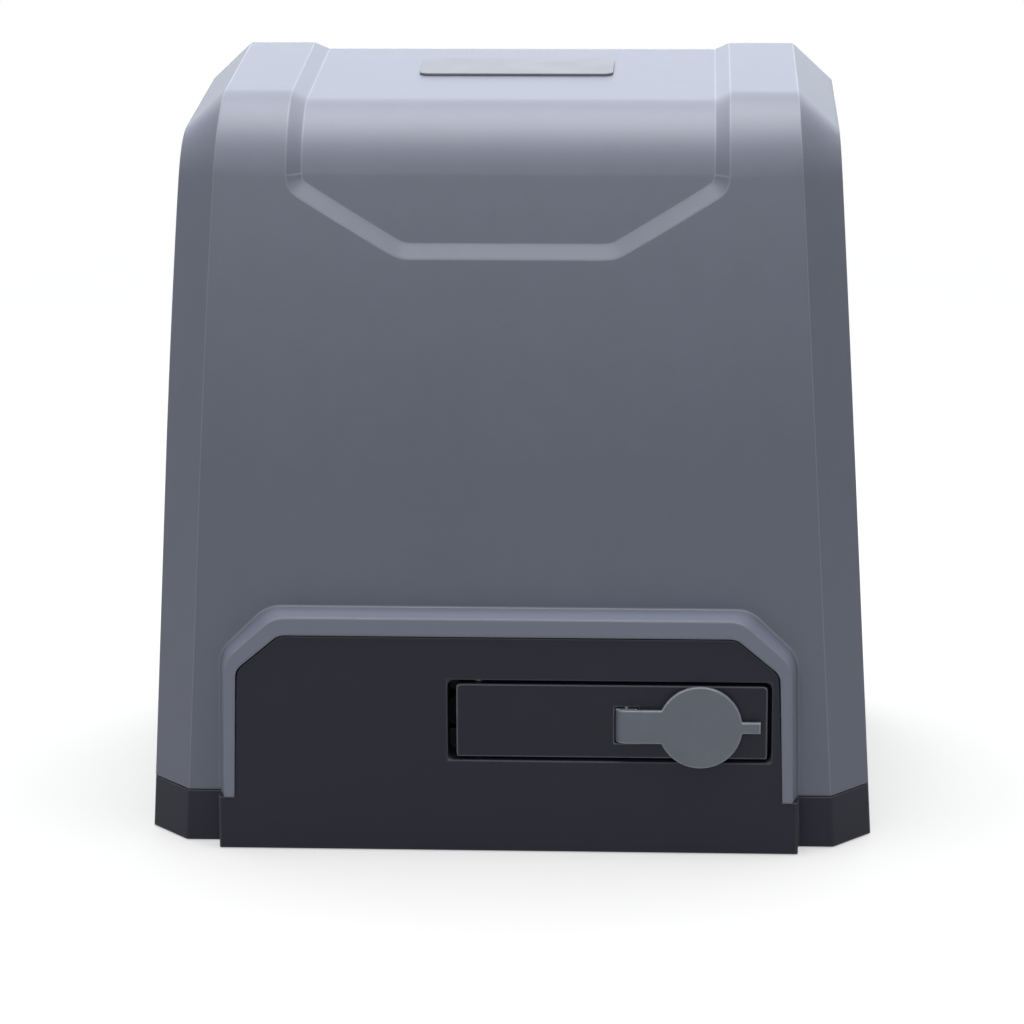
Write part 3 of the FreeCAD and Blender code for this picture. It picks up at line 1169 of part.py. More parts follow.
def windings():
    """The end turns above and below the core."""
    made = []
    for n, (z, length) in enumerate((("stator_start - 12", "12"),
                                     ("stator_start + stator_length", "16"))):
        ring_part = tube(f"winding_{n}", "shell_radius - shell_wall - 4", "stator_bore + 3",
                         length, ("worm_x", "wheel_mid_y", z))
        made.append(ring_part)
    return fuse("winding_set", *made)


def stator_core():
    ring_part = tube("core_ring", "shell_radius - shell_wall", "stator_bore", "stator_length",
                     ("worm_x", "wheel_mid_y", "stator_start"))
    return ring_part


node("motor_flange", motor_flange())
node("motor_shell", tube("shell_tube", "shell_radius", "shell_radius - shell_wall",
                         f"shell_top - {FLANGE_TOP}", ("worm_x", "wheel_mid_y", FLANGE_TOP)))
node("stator_core", stator_core())
node("stator_windings", windings())
node("rotor_core", tube("rotor_stack", "stator_bore - air_gap", "worm_journal_radius",
                        "rotor_length", ("worm_x", "wheel_mid_y", "rotor_start")))
node("motor_cap", motor_cap())
node("motor_top_bearing", bearing("top_brg", "worm_bearing_radius",
                                  "worm_journal_radius + run_clearance",
                                  ("worm_x", "wheel_mid_y", "shell_top + 2"),
                                  "worm_bearing_width", "z"))
node("motor_tie_bolts", tie_bolts())


# ---------------------------------------------------------------- electrics
STANDOFFS = [(f"{sx}*(board_half - 6)", f"board_{end} {sign} 6")
             for sx in (-1, 1) for end, sign in (("bottom", "+"), ("top", "-"))]


def board_tray():
    sheet_part = block("tray_sheet", ("-tray_half", "tray_y - tray_thickness", "board_bottom - 8"),
                       ("tray_half", "tray_y", "tray_top"))
    legs = []
    for n, (a, b) in enumerate((("-tray_half", "-tray_half + 14"),
                                ("tray_half - 14", "tray_half"))):
        legs.append(block(f"tray_leg_{n}", (a, "tray_y - tray_thickness", "floor_thickness"),
                          (b, "tray_y", "board_bottom")))
        legs.append(block(f"tray_foot_{n}", (a, "tray_y - tray_thickness", "floor_thickness"),
                          (b, "tray_y + 16", "floor_thickness + 4")))
    posts = [rod(f"tray_post_{n}", "3.5", "board_standoff",
                 (x, "board_y", z), "y") for n, (x, z) in enumerate(STANDOFFS)]
    holes = [rod(f"tray_screw_hole_{n}", "1.5", "board_standoff + 8",
                 (x, "board_y - 1", z), "y") for n, (x, z) in enumerate(STANDOFFS)]
    return cut("tray", fuse("tray_solid", sheet_part, *legs, *posts), *holes)


def on_board(name, x_1, x_2, z_1, z_2, height):
    """A part soldered on the board's face."""
    return block(name, (x_1, f"board_face - ({height})", z_1), (x_2, "board_face", z_2))


def control_board():
    sheet_part = block("board_sheet", ("-board_half", "board_face", "board_bottom"),
                       ("board_half", "board_y", "board_top"))
    holes = [rod(f"board_hole_{n}", "1.6", "6", (x, "board_face - 1", z), "y")
             for n, (x, z) in enumerate(STANDOFFS)]
    return cut("board", sheet_part, *holes)


def board_screws():
    made = []
    for n, (x, z) in enumerate(STANDOFFS):
        made.append(fuse(f"board_screw_{n}",
                         rod(f"board_screw_head_{n}", "3", "1.8",
                             (x, "board_face - 1.8", z), "y"),
                         rod(f"board_screw_shank_{n}", "1.5", "1.8 + board_thickness + 6",
                             (x, "board_face - 1.8", z), "y")))
    return fuse("board_screw_set", *made)


def terminal_blocks():
    """Plug-in terminals along the board's lower edge, with a screw well over each way."""
    made = []
    for n, (start, ways) in enumerate((("-board_half + 12", 8), ("-board_half + 62", 12),
                                       ("board_half - 54", 8))):
        size = "5.08"
        body = on_board(f"terminal_{n}", start, f"{start} + {ways}*{size}", "board_bottom + 2",
                        "board_bottom + 12", "9")
        wells = [rod(f"terminal_{n}_well_{m}", "1.7", "3",
                     (f"{start} + ({m} + 0.5)*{size}", "board_face - 10", "board_bottom + 8"),
                     "y") for m in range(ways)]
        made.append(cut(f"terminal_row_{n}", body, *wells))
    return fuse("terminal_set", *made)


def relays():
    made = [on_board(f"relay_{n}", f"-board_half + 16 + {n}*23", f"-board_half + 35 + {n}*23",
                     "board_bottom + 26", "board_bottom + 41.5", "12") for n in range(3)]
    return fuse("relay_set", *made)


def board_chips():
    made = [on_board("controller_chip", "8", "26", "board_bottom + 40", "board_bottom + 58", "2"),
            on_board("radio_module", "-50", "-10", "board_top - 26", "board_top - 8", "4"),
            on_board("driver_chip", "34", "44", "board_bottom + 44", "board_bottom + 54", "1.8"),
            on_board("bridge_chip", "-84", "-80", "board_top - 34", "board_top - 12", "10"),
            rod("smoothing_capacitor", "6.5", "9", ("64", "board_face - 9",
                                                   "board_bottom + 40"), "y")]
    return fuse("chip_set", *made)


def fuse_holder():
    base = on_board("fuse_base", "0", "26", "board_bottom + 20", "board_bottom + 29", "5")
    glass = rod("fuse_tube", "2.6", "20", ("3", "board_face - 6.5", "board_bottom + 24.5"), "x")
    return fuse("fuse_solid", base, glass)


def status_lamps():
    made = [rod(f"lamp_{n}", "1.5", "3", (f"{n}*7 - 2", "board_face - 3", "board_top - 14"), "y")
            for n in range(4)]
    return fuse("lamp_set", *made)


BUTTONS = ("open_button", "close_button", "learn_button")


def button_frames():
    """The fixed housings of the three press buttons."""
    made = []
    for n in range(3):
        x = f"button_x + {n}*button_pitch"
        frame = on_board(f"button_frame_{n}", f"{x} - 4", f"{x} + 4", "button_height - 4",
                         "button_height + 4", "4")
        well = rod(f"button_well_{n}", "2.1", "5", (x, "board_face - 5", "button_height"), "y")
        made.append(cut(f"button_housing_{n}", frame, well))
    return fuse("button_frame_set", *made)


node("board_tray", board_tray())
node("control_board", control_board())
node("board_screws", board_screws())
node("terminal_blocks", terminal_blocks())
node("relays", relays())
node("board_components", fuse("component_set", board_chips(), fuse_holder(), button_frames()))
node("status_lamps", status_lamps())
for number, label in enumerate(BUTTONS):
    node(label, rod(f"{label}_stem", "1.8", "4.4",
                    (f"button_x + {number}*button_pitch", "board_face - 5.2",
                     "button_height"), "y"))


def transformer_core():
    low = ("transformer_x - transformer_half", "wheel_mid_y - 36", "floor_thickness")
    high = ("transformer_x + transformer_half", "wheel_mid_y + 24", "floor_thickness + 50")
    stack = block("core_stack", low, high)
    windows = [block(f"core_window_{n}", ("transformer_x - 60", f"wheel_mid_y - 6 + {y}",
                                          "floor_thickness + 10"),
                     ("transformer_x + 60", f"wheel_mid_y - 6 + {y} + 10",
                      "floor_thickness + 40")) for n, y in enumerate((-20, 10))]
    return cut("transformer_stack", stack, *windows)


def transformer_coil():
    outer = block("coil_outer", ("transformer_x - transformer_half - 4", "wheel_mid_y - 25.8",
                                 "floor_thickness + 10.2"),
                  ("transformer_x + transformer_half + 4", "wheel_mid_y + 13.8",
                   "floor_thickness + 39.8"))
    inner = block("coil_inner", ("transformer_x - transformer_half - 0.2", "wheel_mid_y - 16.2",
                                 "floor_thickness + 5"),
                  ("transformer_x + transformer_half + 0.2", "wheel_mid_y + 4.2",
                   "floor_thickness + 45"))
    return cut("coil", outer, inner)


node("transformer_core", transformer_core())
node("transformer_coil", transformer_coil())
node("run_capacitor", fuse(
    "capacitor_solid",
    rod("capacitor_can", "capacitor_radius", "capacitor_length",
        ("capacitor_x", "capacitor_y", "floor_thickness + 2")),
    rod("capacitor_neck", "capacitor_radius - 3", "3",
        ("capacitor_x", "capacitor_y", "floor_thickness + 2 + capacitor_length")),
    *[block(f"capacitor_tag_{n}", (f"capacitor_x + {x} - 0.4", "capacitor_y - 3",
                                   "floor_thickness + 4 + capacitor_length"),
            (f"capacitor_x + {x} + 0.4", "capacitor_y + 3",
             "floor_thickness + 13 + capacitor_length")) for n, x in enumerate((-6, 6))]))
node("capacitor_clip", cut(
    "clip_cup", rod("clip_outer", "capacitor_radius + 2.5", "16",
                    ("capacitor_x", "capacitor_y", "floor_thickness")),
    rod("clip_bore", "capacitor_radius", "20",
        ("capacitor_x", "capacitor_y", "floor_thickness + 2"))))


# ---------------------------------------------------------------- limit switch
LIMIT_PIVOT_Y = "(rear_plate_front - 8)"
LIMIT_BASE = "(case_top + 2)"


def limit_bracket():
    sheet_part = block("bracket_sheet", ("case_left + 2", "case_front + 8", "case_top"),
                       ("worm_x - flange_half - 2", "rear_plate_front - 1", LIMIT_BASE))
    return sheet_part


def limit_body():
    half, top = "17", "limit_height + 9"
    box = block("limit_box", (f"limit_x - {half}", "rear_plate_front - 40", LIMIT_BASE),
                (f"limit_x + {half}", "rear_plate_front - 1", top))
    room = block("limit_mouth", (f"limit_x - limit_room", f"{LIMIT_PIVOT_Y} - 9",
                                 "limit_height - 4.5"),
                 (f"limit_x + limit_room", "rear_plate_front + 1", "limit_height + 4.5"))
    pin = rod("limit_pin", "1.5", "13", ("limit_x", LIMIT_PIVOT_Y, "limit_height - 6.5"))
    return fuse("limit_case_pinned", cut("limit_case", box, room), pin)


def limit_arm():
    reach = "(rear_plate_front + limit_arm_reach)"
    stem = rod("limit_stem", "limit_arm_radius", f"{reach} - {LIMIT_PIVOT_Y}",
               ("limit_x", LIMIT_PIVOT_Y, "limit_height"), "y")
    hub = rod("limit_hub", "4", "8", ("limit_x", LIMIT_PIVOT_Y, "limit_height - 4"))
    roller = rod("limit_roller", "4.5", "9", ("limit_x", f"{reach} - 2", "limit_height - 4.5"))
    bore = rod("limit_bore", "1.5 + run_clearance", "20",
               ("limit_x", LIMIT_PIVOT_Y, "limit_height - 10"))
    return cut("limit_lever", fuse("limit_lever_solid", stem, hub, roller), bore)


node("limit_bracket", limit_bracket())
node("limit_switch", limit_body())
node("limit_arm", limit_arm())


# ---------------------------------------------------------------- fixings in the base
def cover_screws():
    made = []
    for n, side in enumerate((1, -1)):
        seat = "(side_at_screw - 3.7)"
        head = f"{seat}" if side > 0 else f"-({seat} + 3.2)"
        shank = f"{seat} - 14" if side > 0 else f"-({seat} + 1)"
        socket = f"{seat} + 1.4" if side > 0 else f"-({seat} + 5)"
        made.append(cut(f"cover_screw_{n}",
                        fuse(f"cover_screw_solid_{n}",
                             rod(f"cover_screw_head_{n}", "cover_screw_head", "3.2",
                                 (head, 0, "cover_screw_height"), "x"),
                             rod(f"cover_screw_shank_{n}", "cover_screw_radius", "15",
                                 (shank, 0, "cover_screw_height"), "x")),
                        rod(f"cover_screw_socket_{n}", "2.4", "3.6",
                            (socket, 0, "cover_screw_height"), "x")))
    return fuse("cover_screw_set", *made)


def levelling_screws():
    made = []
    for n, (sx, sy) in enumerate(SLOT_SIDES):
        x, y = f"{sx}*leveller_x", f"{sy}*leveller_y"
        made.append(cut(f"leveller_{n}",
                        fuse(f"leveller_solid_{n}",
                             rod(f"leveller_shank_{n}", "leveller_radius",
                                 "floor_thickness + 16", (x, y, "0.5")),
                             rod(f"leveller_nut_{n}", "leveller_radius + 3", "5",
                                 (x, y, "floor_thickness + 8"))),
                        rod(f"leveller_socket_{n}", "2", "6",
                            (x, y, "floor_thickness + 12"))))
    return fuse("leveller_set", *made)


def cable_grommet():
    at = ("grommet_x", "grommet_y")
    sleeve = rod("grommet_sleeve", "grommet_bore + 3", "floor_thickness", (*at, 0))
    flange = rod("grommet_flange", "grommet_bore + 6", "3", (*at, "floor_thickness"))
    bore = rod("grommet_way", "grommet_bore", "floor_thickness + 5", (*at, -1))
    return cut("grommet", fuse("grommet_solid", sleeve, flange), bore)


node("cover_screws", cover_screws())
node("levelling_screws", levelling_screws())
node("cable_grommet", cable_grommet())

# ---------------------------------------------------------------- check and write
doc.recompute()
for thing in doc.Objects:
    if any(state in ("Invalid", "Error") for state in thing.State):
        raise RuntimeError(f"{thing.Label} failed: {thing.State}")
for thing in NODES:
    if thing.Shape.isNull() or not thing.Shape.isValid():
        raise RuntimeError(f"{thing.Label} has no valid shape")
os.makedirs("parts", exist_ok=True)
for thing in NODES:
    thing.Shape.exportStep(f"parts/{thing.Label}.step")
print(len(NODES), "sub-parts,", sum(len(thing.Shape.Solids) for thing in NODES), "solids")
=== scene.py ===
"""Looks of the sliding gate motor: softened mouldings over the fixed frame, procedural finishes,
a pale floor and soft studio light. Metres, in the frame's own axes."""
import json
import math

import bmesh
import bpy
from mathutils import Matrix, Vector


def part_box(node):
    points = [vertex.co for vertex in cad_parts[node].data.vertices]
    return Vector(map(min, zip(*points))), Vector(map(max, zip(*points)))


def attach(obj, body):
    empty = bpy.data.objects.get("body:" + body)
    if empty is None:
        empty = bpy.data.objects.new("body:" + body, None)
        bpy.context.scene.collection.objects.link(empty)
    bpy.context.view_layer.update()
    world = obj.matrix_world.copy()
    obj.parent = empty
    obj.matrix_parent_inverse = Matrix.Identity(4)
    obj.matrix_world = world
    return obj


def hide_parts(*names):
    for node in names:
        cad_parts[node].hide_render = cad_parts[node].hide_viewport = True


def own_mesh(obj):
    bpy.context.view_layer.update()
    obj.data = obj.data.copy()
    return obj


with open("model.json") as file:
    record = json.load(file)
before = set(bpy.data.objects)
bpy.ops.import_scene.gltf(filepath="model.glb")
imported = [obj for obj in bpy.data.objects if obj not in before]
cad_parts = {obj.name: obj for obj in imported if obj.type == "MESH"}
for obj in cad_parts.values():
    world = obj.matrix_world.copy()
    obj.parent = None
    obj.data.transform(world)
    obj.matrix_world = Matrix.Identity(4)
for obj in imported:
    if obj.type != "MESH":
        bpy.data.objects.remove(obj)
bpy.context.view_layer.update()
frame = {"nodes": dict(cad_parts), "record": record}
scene = bpy.context.scene
BODY_OF = {node: body for body, nodes in frame["record"]["behaviour"]["bodies"].items()
           for node in nodes}
SLOT_OF = {part["node"]: part["material_slot"] for part in frame["record"]["subparts"]}


# where the housing's leaning front meets the ground, and its lean
FRONT_FOOT = -0.095
FRONT_LEAN = math.radians(3)
# the output shaft's centre, and the key's
OUTPUT = (-0.02, 0.0, 0.056)
LOCK = (0.0788, 0, 0.0539)


# ---------------------------------------------------------------- shader helpers
class Wire:
    """A shader socket. Arithmetic on it adds Math nodes."""

    def __init__(self, finish, socket):
        self.finish = finish
        self.socket = socket

    def maths(self, operation, *values):
        return self.finish.maths_of(operation, *values)

    def __add__(self, other):
        return self.maths("ADD", self, other)

    def __sub__(self, other):
        return self.maths("SUBTRACT", self, other)

    def __rsub__(self, other):
        return self.maths("SUBTRACT", other, self)

    def __mul__(self, other):
        return self.maths("MULTIPLY", self, other)

    __radd__ = __add__
    __rmul__ = __mul__

    def band(self, low, high):
        """0 below low, 1 above high, straight between."""
        return self.finish.node("MapRange", {"clamp": True},
                                {"Value": self, "From Min": low, "From Max": high})


class Finish:
    """One material, or the studio's world, made of nodes."""

    # the Mix node's colour sockets: its two inputs and its result
    MIX_COLOURS = (6, 7)
    MIX_RESULT = 2

    def __init__(self, name, kind="materials", shader="BsdfPrincipled", output="OutputMaterial"):
        self.block = getattr(bpy.data, kind).new(name)
        self.block.use_nodes = True
        self.tree = self.block.node_tree
        self.tree.nodes.clear()
        self.shader = self.add(shader)
        self.add(output, None, {"Surface": Wire(self, self.shader.outputs[0])})
        self.place = self.node("TexCoord", output="Object")

    def add(self, kind, settings=None, inputs=None):
        """Any node: its type, its settings, then the values or links of its sockets."""
        made = self.tree.nodes.new("ShaderNode" + kind)
        for key, setting in (settings or {}).items():
            setattr(made, key, setting)
        self.plug(made, inputs or {})
        return made

    def node(self, kind, settings=None, inputs=None, output=0):
        """A node as its output socket, ready for arithmetic."""
        return Wire(self, self.add(kind, settings, inputs).outputs[output])

    def plug(self, made, inputs):
        for key, given in inputs.items():
            if isinstance(given, Wire):
                self.tree.links.new(given.socket, made.inputs[key])
            else:
                made.inputs[key].default_value = given

    def set(self, **values):
        """Feeds the Principled shader. Underscores stand for spaces."""
        self.plug(self.shader, {key.replace("_", " "): given for key, given in values.items()})
        return self

    def noise(self, size, detail=2.0, rough=0.5, stretch=(1, 1, 1)):
        """Noise whose blobs are about size metres wide."""
        at = self.node("Mapping", None, {"Vector": self.place, "Scale": stretch}, "Vector")
        return self.node("TexNoise", {"noise_dimensions": "3D"},
                         {"Vector": at, "Scale": 1 / size, "Detail": detail, "Roughness": rough})

    def blend(self, share, first, second):
        """A colour between two."""
        given = {0: share}
        for socket, colour in zip(self.MIX_COLOURS, (first, second)):
            given[socket] = colour if isinstance(colour, Wire) else (*colour, 1)
        return self.node("Mix", {"data_type": "RGBA"}, given, self.MIX_RESULT)

    def bump(self, height, distance, under=None):
        """Relief of a depth in metres, laid over another surface direction where one is given."""
        given = {"Height": height, "Distance": distance}
        if under:
            given["Normal"] = under
        return self.node("Bump", None, given)

    def rounding(self, radius):
        """The surface direction with every edge eased to a radius in metres."""
        return self.node("Bevel", {"samples": 8}, {"Radius": radius})

    def shown_rays(self):
        """1 for rays that end up in view: straight, mirrored or through something clear."""
        seen, glossy, through = (self.node("LightPath", output=f"Is {ray} Ray")
                                 for ray in ("Camera", "Glossy", "Transmission"))
        return self.maths_of("MAXIMUM", self.maths_of("MAXIMUM", seen, glossy), through)

    def maths_of(self, operation, *values):
        """One Math node."""
        return self.node("Math", {"operation": operation}, dict(enumerate(values)))

    def edge_mask(self, radius):
        """1 along sharp edges, 0 on flat ground."""
        soft = self.node("Bevel", {"samples": 4}, {"Radius": radius})
        true = self.node("NewGeometry", output="Normal")
        same = self.node("VectorMath", {"operation": "DOT_PRODUCT"}, {0: soft, 1: true}, "Value")
        return (1 - same).band(0.004, 0.045)

    def parts(self, axis):
        """How far along one of the frame's axes a point lies."""
        return self.node("SeparateXYZ", None, {0: self.place}, axis.upper())


def tint(colour, factor):
    """The same colour, lighter or darker."""
    return tuple(min(1, channel * factor) for channel in colour)


def highlighted_edge_colour(colour, factor):
    """An edge's colour: lighter, and greyer than the plastic itself, a painted highlight."""
    grey = sum(colour) / 3
    return tuple(min(1, (0.35 * channel + 0.65 * grey) * factor) for channel in colour)


# ---------------------------------------------------------------- finishes
MOULDED_EDGE = 0.0009


def textured_plastic(name, colour, rough, grain=0.0005, depth=0.000035, edge=1.12, ease=0.0016,
                     shine=0.5, proud_highlight=1.0):
    """Moulded plastic with a fine eroded grain, faint flow marks, and edges that are less rough
    and painted lighter, a painted highlight.
    Whatever stands proud of the leaning front is painted lighter by its own factor, a painted
    highlight where raised faces catch more light."""
    f = Finish(name)
    flow = f.noise(0.09, 3, 0.6, (1, 1, 0.45))
    mottle = f.noise(0.012, 4, 0.65)
    share = (flow * 0.6 + mottle * 0.4).band(0.3, 0.7)
    ground = f.blend(share, tint(colour, 0.94), tint(colour, 1.06))
    # painted highlight: whatever stands proud of the leaning front is painted lighter, standing
    # in for the light its raised faces catch
    if proud_highlight != 1.0:
        proud = ((FRONT_FOOT - f.parts("y")) * math.cos(FRONT_LEAN)
                 + f.parts("z") * math.sin(FRONT_LEAN))
        ground = f.blend(proud.band(0.001, 0.005), ground, tint(colour, proud_highlight))
    edges = f.edge_mask(MOULDED_EDGE)
    # painted highlight: the edges are painted lighter and greyer by the edge factor
    f.set(Base_Color=f.blend(edges, ground, highlighted_edge_colour(colour, edge)))
    speck = f.noise(grain, 2, 0.6)
    pits = f.noise(grain * 3.1, 2, 0.5)
    f.set(Roughness=(rough - 0.04) + speck * 0.06 + flow * 0.06 - edges * 0.08)
    f.set(Normal=f.bump(speck * 0.65 + pits * 0.35, depth, f.rounding(ease)),
          Specular_IOR_Level=shine)
    return f.block


def satin_plastic(name, colour, rough, coat=0.0, edge=1.35, ease=0.0006, shine=0.5):
    """Smooth moulded plastic with faint sink marks and fine handling scratches."""
    f = Finish(name)
    mottle = f.noise(0.02, 3, 0.6)
    ground = f.blend(mottle.band(0.3, 0.7), tint(colour, 0.93), tint(colour, 1.07))
    edges = f.edge_mask(ease)
    # painted highlight: the edges are painted lighter and greyer by the edge factor
    f.set(Base_Color=f.blend(edges, ground, highlighted_edge_colour(colour, edge)))
    scratch = f.noise(0.0012, 3, 0.7, (1, 7, 1))
    f.set(Roughness=rough + (scratch - 0.5) * 0.16)
    sink = f.bump(f.noise(0.016, 1, 0.4), 0.00012, f.rounding(ease))
    f.set(Normal=f.bump(f.noise(0.0006, 2, 0.6), 0.000012, sink), Coat_Weight=coat,
          Specular_IOR_Level=shine)
    return f.block


def turned_steel(name, colour, rough, centre, axis):
    """Machined metal with fine tool rings about one axis."""
    f = Finish(name)
    at = f.node("VectorMath", {"operation": "SUBTRACT"}, {0: f.place, 1: centre})
    flat = tuple(0.0 if a == axis else 1.0 for a in "xyz")
    across = f.node("VectorMath", {"operation": "MULTIPLY"}, {0: at, 1: flat})
    radius = f.node("VectorMath", {"operation": "LENGTH"}, {0: across}, "Value")
    along = f.parts(axis)
    rings = f.maths_of("SINE", (radius + along) * 9000)
    stain = f.noise(0.008, 4, 0.6)
    f.set(Base_Color=f.blend(stain.band(0.35, 0.75), colour, tint(colour, 0.78)), Metallic=1.0)
    f.set(Roughness=rough + stain * 0.16 + rings * 0.02)
    f.set(Normal=f.bump(rings * 0.5 + 0.5, 0.000006, f.rounding(0.0004)))
    return f.block


def plated_steel(name, colour, rough):
    """Zinc-plated steel: a cool mottled spangle with a dulled surface."""
    f = Finish(name)
    spangle = f.node("TexVoronoi", {"feature": "F1"}, {"Vector": f.place, "Scale": 900.0},
                     "Distance")
    cloud = f.noise(0.006, 3, 0.6)
    tone = f.blend(cloud.band(0.3, 0.7), tint(colour, 0.82), colour)
    edges = f.edge_mask(0.0005)
    f.set(Base_Color=f.blend(edges * 0.5, tone, tint(colour, 1.25)), Metallic=1.0)
    f.set(Roughness=rough + spangle * 0.1 + cloud * 0.1)
    f.set(Normal=f.bump(spangle, 0.00001, f.rounding(0.0004)))
    return f.block


def cast_metal(name, colour, rough, depth=0.00012):
    """As-cast alloy: sandy skin, soft waves, brighter where it is machined at the edges."""
    f = Finish(name)
    sand = f.noise(0.0011, 4, 0.7)
    wave = f.noise(0.018, 2, 0.5)
    edges = f.edge_mask(0.001)
    ground = f.blend((sand * 0.5 + wave * 0.5).band(0.35, 0.65), tint(colour, 0.8), colour)
    f.set(Base_Color=f.blend(edges * 0.7, ground, tint(colour, 1.25)), Metallic=1.0)
    f.set(Roughness=rough + sand * 0.18 - edges * 0.12)
    f.set(Normal=f.bump(sand * 0.8 + wave * 0.2, depth, f.rounding(0.0012)))
    return f.block


def wound_copper(name, colour, pitch, axis):
    """Varnished copper turns lying side by side along one axis."""
    f = Finish(name)
    along = f.parts(axis)
    wander = f.noise(0.006, 2, 0.5)
    turns = f.maths_of("SINE", along * (2 * math.pi / pitch) + wander * 5)
    dip = turns * 0.5 + 0.5
    # painted shade: the grooves between the turns are painted darker
    f.set(Base_Color=f.blend(dip, tint(colour, 0.28), colour), Metallic=0.85)
    f.set(Roughness=0.42 - dip * 0.14, Normal=f.bump(dip, pitch * 0.3), Coat_Weight=0.4)
    return f.block


def laminated_steel(name, colour, pitch, axis):
    """Stacked steel sheets seen on edge, with dull oxide between them."""
    f = Finish(name)
    sheets = f.maths_of("SINE", f.parts(axis) * (2 * math.pi / pitch))
    gap = sheets.band(0.55, 0.95)
    oxide = f.noise(0.004, 3, 0.6)
    ground = f.blend(oxide.band(0.5, 0.8) * 0.5, colour, (0.12, 0.08, 0.06))
    f.set(Base_Color=f.blend(gap, ground, tint(colour, 0.3)), Metallic=0.8)
    f.set(Roughness=0.45 + oxide * 0.2, Normal=f.bump(1 - gap, 0.00005))
    return f.block


def soft_rubber(name, colour):
    """Matt rubber with pale dust lying on it."""
    f = Finish(name)
    dust = f.noise(0.003, 4, 0.7)
    f.set(Base_Color=f.blend(dust.band(0.45, 0.8), colour, tint(colour, 2.2)))
    f.set(Roughness=0.72 + dust * 0.14, Normal=f.bump(f.noise(0.0004, 2, 0.6), 0.00003))
    return f.block


def painted_tube(name, colour):
    """Baked black paint with orange peel and small chips at the edges."""
    f = Finish(name)
    peel = f.noise(0.0016, 2, 0.5)
    chips = f.edge_mask(0.0008) * f.noise(0.0009, 3, 0.7).band(0.5, 0.58)
    f.set(Base_Color=f.blend(chips, colour, (0.35, 0.35, 0.36)), Metallic=chips * 0.9)
    f.set(Roughness=0.36 + chips * 0.2 + peel * 0.06, Normal=f.bump(peel, 0.00004))
    return f.block


def circuit_board(name, colour):
    """Green solder mask over copper tracks, with tinned pads."""
    f = Finish(name)
    x, z = f.parts("x"), f.parts("z")
    lanes = f.node("TexBrick", {"offset": 0.37, "squash": 1.0},
                   {"Vector": f.node("CombineXYZ", None, {0: x, 1: z}), "Scale": 1.0,
                    "Mortar Size": 0.00035, "Mortar Smooth": 0.3, "Brick Width": 0.013,
                    "Row Height": 0.0024, "Bias": 0.0}, "Fac")
    tracks = lanes * f.noise(0.012, 1, 0.4).band(0.42, 0.5)
    pads = f.node("TexVoronoi", {"feature": "F1"},
                  {"Vector": f.place, "Scale": 210.0, "Randomness": 0.55}, "Distance")
    dots = 1 - pads.band(0.1, 0.16)
    mask = f.blend(tracks, colour, tint(colour, 1.9))
    f.set(Base_Color=f.blend(dots, mask, (0.62, 0.6, 0.5)), Metallic=dots * 0.8)
    f.set(Roughness=0.34 - dots * 0.06, Coat_Weight=0.3)
    f.set(Normal=f.bump(tracks * 0.6 + dots, 0.00005))
    return f.block


def fibre_gasket(name, colour):
    """Pressed fibre sheet with its strands showing."""
    f = Finish(name)
    strands = f.noise(0.0016, 4, 0.75, (1, 4, 1))
    f.set(Base_Color=f.blend(strands.band(0.35, 0.65), tint(colour, 0.6), tint(colour, 1.3)))
    f.set(Roughness=0.85 - strands * 0.1, Normal=f.bump(strands, 0.00008))
    return f.block


def indicator(name, colour):
    """A clear-coated tinted lens with a faint swirl in it."""
    f = Finish(name)
    swirl = f.noise(0.0015, 2, 0.5)
    f.set(Base_Color=f.blend(swirl, tint(colour, 0.7), colour))
    f.set(Roughness=0.12 + swirl * 0.05, Coat_Weight=0.8)
    return f.block


